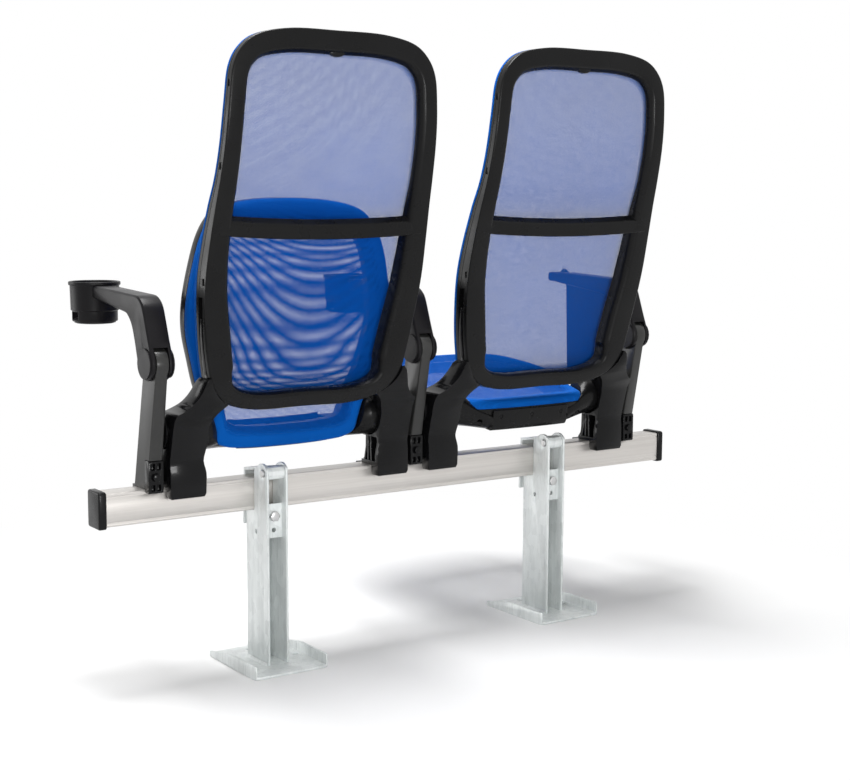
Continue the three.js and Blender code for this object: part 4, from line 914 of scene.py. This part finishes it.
def carry(node):
    obj = frame["nodes"][node].copy()
    obj.data = obj.data.copy()
    obj.name = f"{node}_piece"
    obj.parent = None
    for key in list(obj.keys()):
        del obj[key]
    bpy.context.scene.collection.objects.link(obj)
    bm = bmesh.new()
    bm.from_mesh(obj.data)
    bmesh.ops.remove_doubles(bm, verts=bm.verts, dist=SAME_PLACE)
    bmesh.ops.dissolve_limit(
        bm, angle_limit=math.radians(SAME_PLANE), verts=bm.verts, edges=bm.edges)
    bm.to_mesh(obj.data)
    bm.free()
    if node.endswith("barrel"):
        hollow_barrel(obj, node)
    ease = next((width for end, width in EASED.items() if node.endswith(end)), None)
    if ease:
        soften(obj, ease, SHARP_ANGLE)
    smooth(obj, SHARP_ANGLE)
    slot = SLOT_OF[node]
    paint = "gloss_black" if node.endswith("post_bolt") else slot
    place_piece(obj, BODY_OF[node], paint, node)


for side in ("left", "right"):
    make_back(side)
    make_seat(side)
    make_cover(side)
for side in ("left", "middle"):
    make_cup(side)
made = {name for obj in list(bpy.data.objects) for name in obj.get("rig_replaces", [])}
for node in sorted(frame["nodes"]):
    if node not in made:
        carry(node)


# Stage, in metres
FLOOR_HALF, FLOOR_DROP = 12.0, 0.0004
FLOOR_TONE, FLOOR_GLOW = (0.9, 0.9, 0.9), 0.02
FADE_START, FADE_END = 0.55, 1.35
WORLD_LIGHT, WORLD_SEEN = 0.16, 1.0


def make_floor():
    """A pale floor that keeps its shadows near the row and fades to plain white around it."""
    corners = [(x * FLOOR_HALF, y * FLOOR_HALF, -FLOOR_DROP)
               for x, y in ((-1, -1), (1, -1), (1, 1), (-1, 1))]
    floor = mesh_object("floor", corners, [(0, 1, 2, 3)])
    paint = bpy.data.materials.new("floor_white")
    graph = Graph(paint)
    graph.nodes.clear()
    lit = graph.node("BsdfDiffuse", {"Color": FLOOR_TONE}).outputs["BSDF"]
    glow = graph.node("Emission", {"Strength": FLOOR_GLOW}).outputs["Emission"]
    near = graph.node("AddShader", {0: lit, 1: glow}).outputs["Shader"]
    white = graph.node("Emission").outputs["Emission"]
    place = graph.node("TexCoord").outputs["Object"]
    reach = graph.node("VectorMath", {0: place}, operation="LENGTH").outputs["Value"]
    fade = graph.node(
        "MapRange", {"Value": reach, "From Min": FADE_START, "From Max": FADE_END},
        interpolation_type="SMOOTHSTEP").outputs["Result"]
    shown = graph.mix_shader(fade, near, white)
    graph.node("OutputMaterial", {"Surface": graph.mix_shader(graph.seen(), lit, shown)})
    floor.data.materials.append(paint)


def make_world():
    world = bpy.data.worlds.new("studio")
    bpy.context.scene.world = world
    graph = Graph(world)
    graph.nodes.clear()
    light, shown = (
        graph.node("Background", {"Color": (1, 1, 1), "Strength": level}).outputs["Background"]
        for level in (WORLD_LIGHT, WORLD_SEEN))
    graph.node("OutputWorld", {"Surface": graph.mix_shader(graph.seen(), light, shown)})


def area_light(name, place, target, size, power):
    data = bpy.data.lights.new(name, "AREA")
    data.shape = "RECTANGLE"
    data.size, data.size_y = size
    data.energy = power
    obj = bpy.data.objects.new(name, data)
    obj.location = place
    obj.rotation_mode = "QUATERNION"
    obj.rotation_quaternion = (Vector(target) - Vector(place)).to_track_quat("-Z", "Y")
    bpy.context.scene.collection.objects.link(obj)


make_floor()
make_world()
area_light("overhead", place=(0.3, 0.0, 3.2), target=(0, 0, 0.2), size=(1.7, 1.1), power=132)
area_light("near_camera", place=(2.2, 3.3, 1.1), target=(0, 0, 0.45), size=(0.7, 0.7), power=38)
area_light("low_rear", place=(0.2, 3.9, 0.6), target=(0, 0, 0.3), size=(0.7, 0.5), power=30)
area_light("front_left", place=(3.0, -2.7, 0.8), target=(0, 0, 0.7), size=(2.0, 1.4), power=30)


# Camera, in metres and degrees, solved from the photograph's view of the beam and the seats
CAMERA_PLACE = (1.6431, 2.5599, 0.8543)
CAMERA_TURN, CAMERA_TILT, CAMERA_ROLL = 34.33, 7.1, 0.25
CAMERA_SENSOR, CAMERA_LENS = 36.0, 64.13


def make_camera():
    turn, tilt, roll = (math.radians(v) for v in (CAMERA_TURN, CAMERA_TILT, CAMERA_ROLL))
    ahead = Vector((-math.sin(turn) * math.cos(tilt), -math.cos(turn) * math.cos(tilt),
                    -math.sin(tilt)))
    right = Vector((-math.cos(turn), math.sin(turn), 0))
    up = right.cross(ahead)
    across = right * math.cos(roll) + up * math.sin(roll)
    above = up * math.cos(roll) - right * math.sin(roll)
    data = bpy.data.cameras.new("camera")
    data.sensor_width = CAMERA_SENSOR
    data.lens = CAMERA_LENS
    obj = bpy.data.objects.new("camera", data)
    turned = Matrix((across, above, -ahead)).transposed().to_4x4()
    obj.matrix_world = Matrix.Translation(CAMERA_PLACE) @ turned
    bpy.context.scene.collection.objects.link(obj)
    bpy.context.scene.camera = obj


make_camera()
bpy.context.scene.view_settings.view_transform = "Standard"
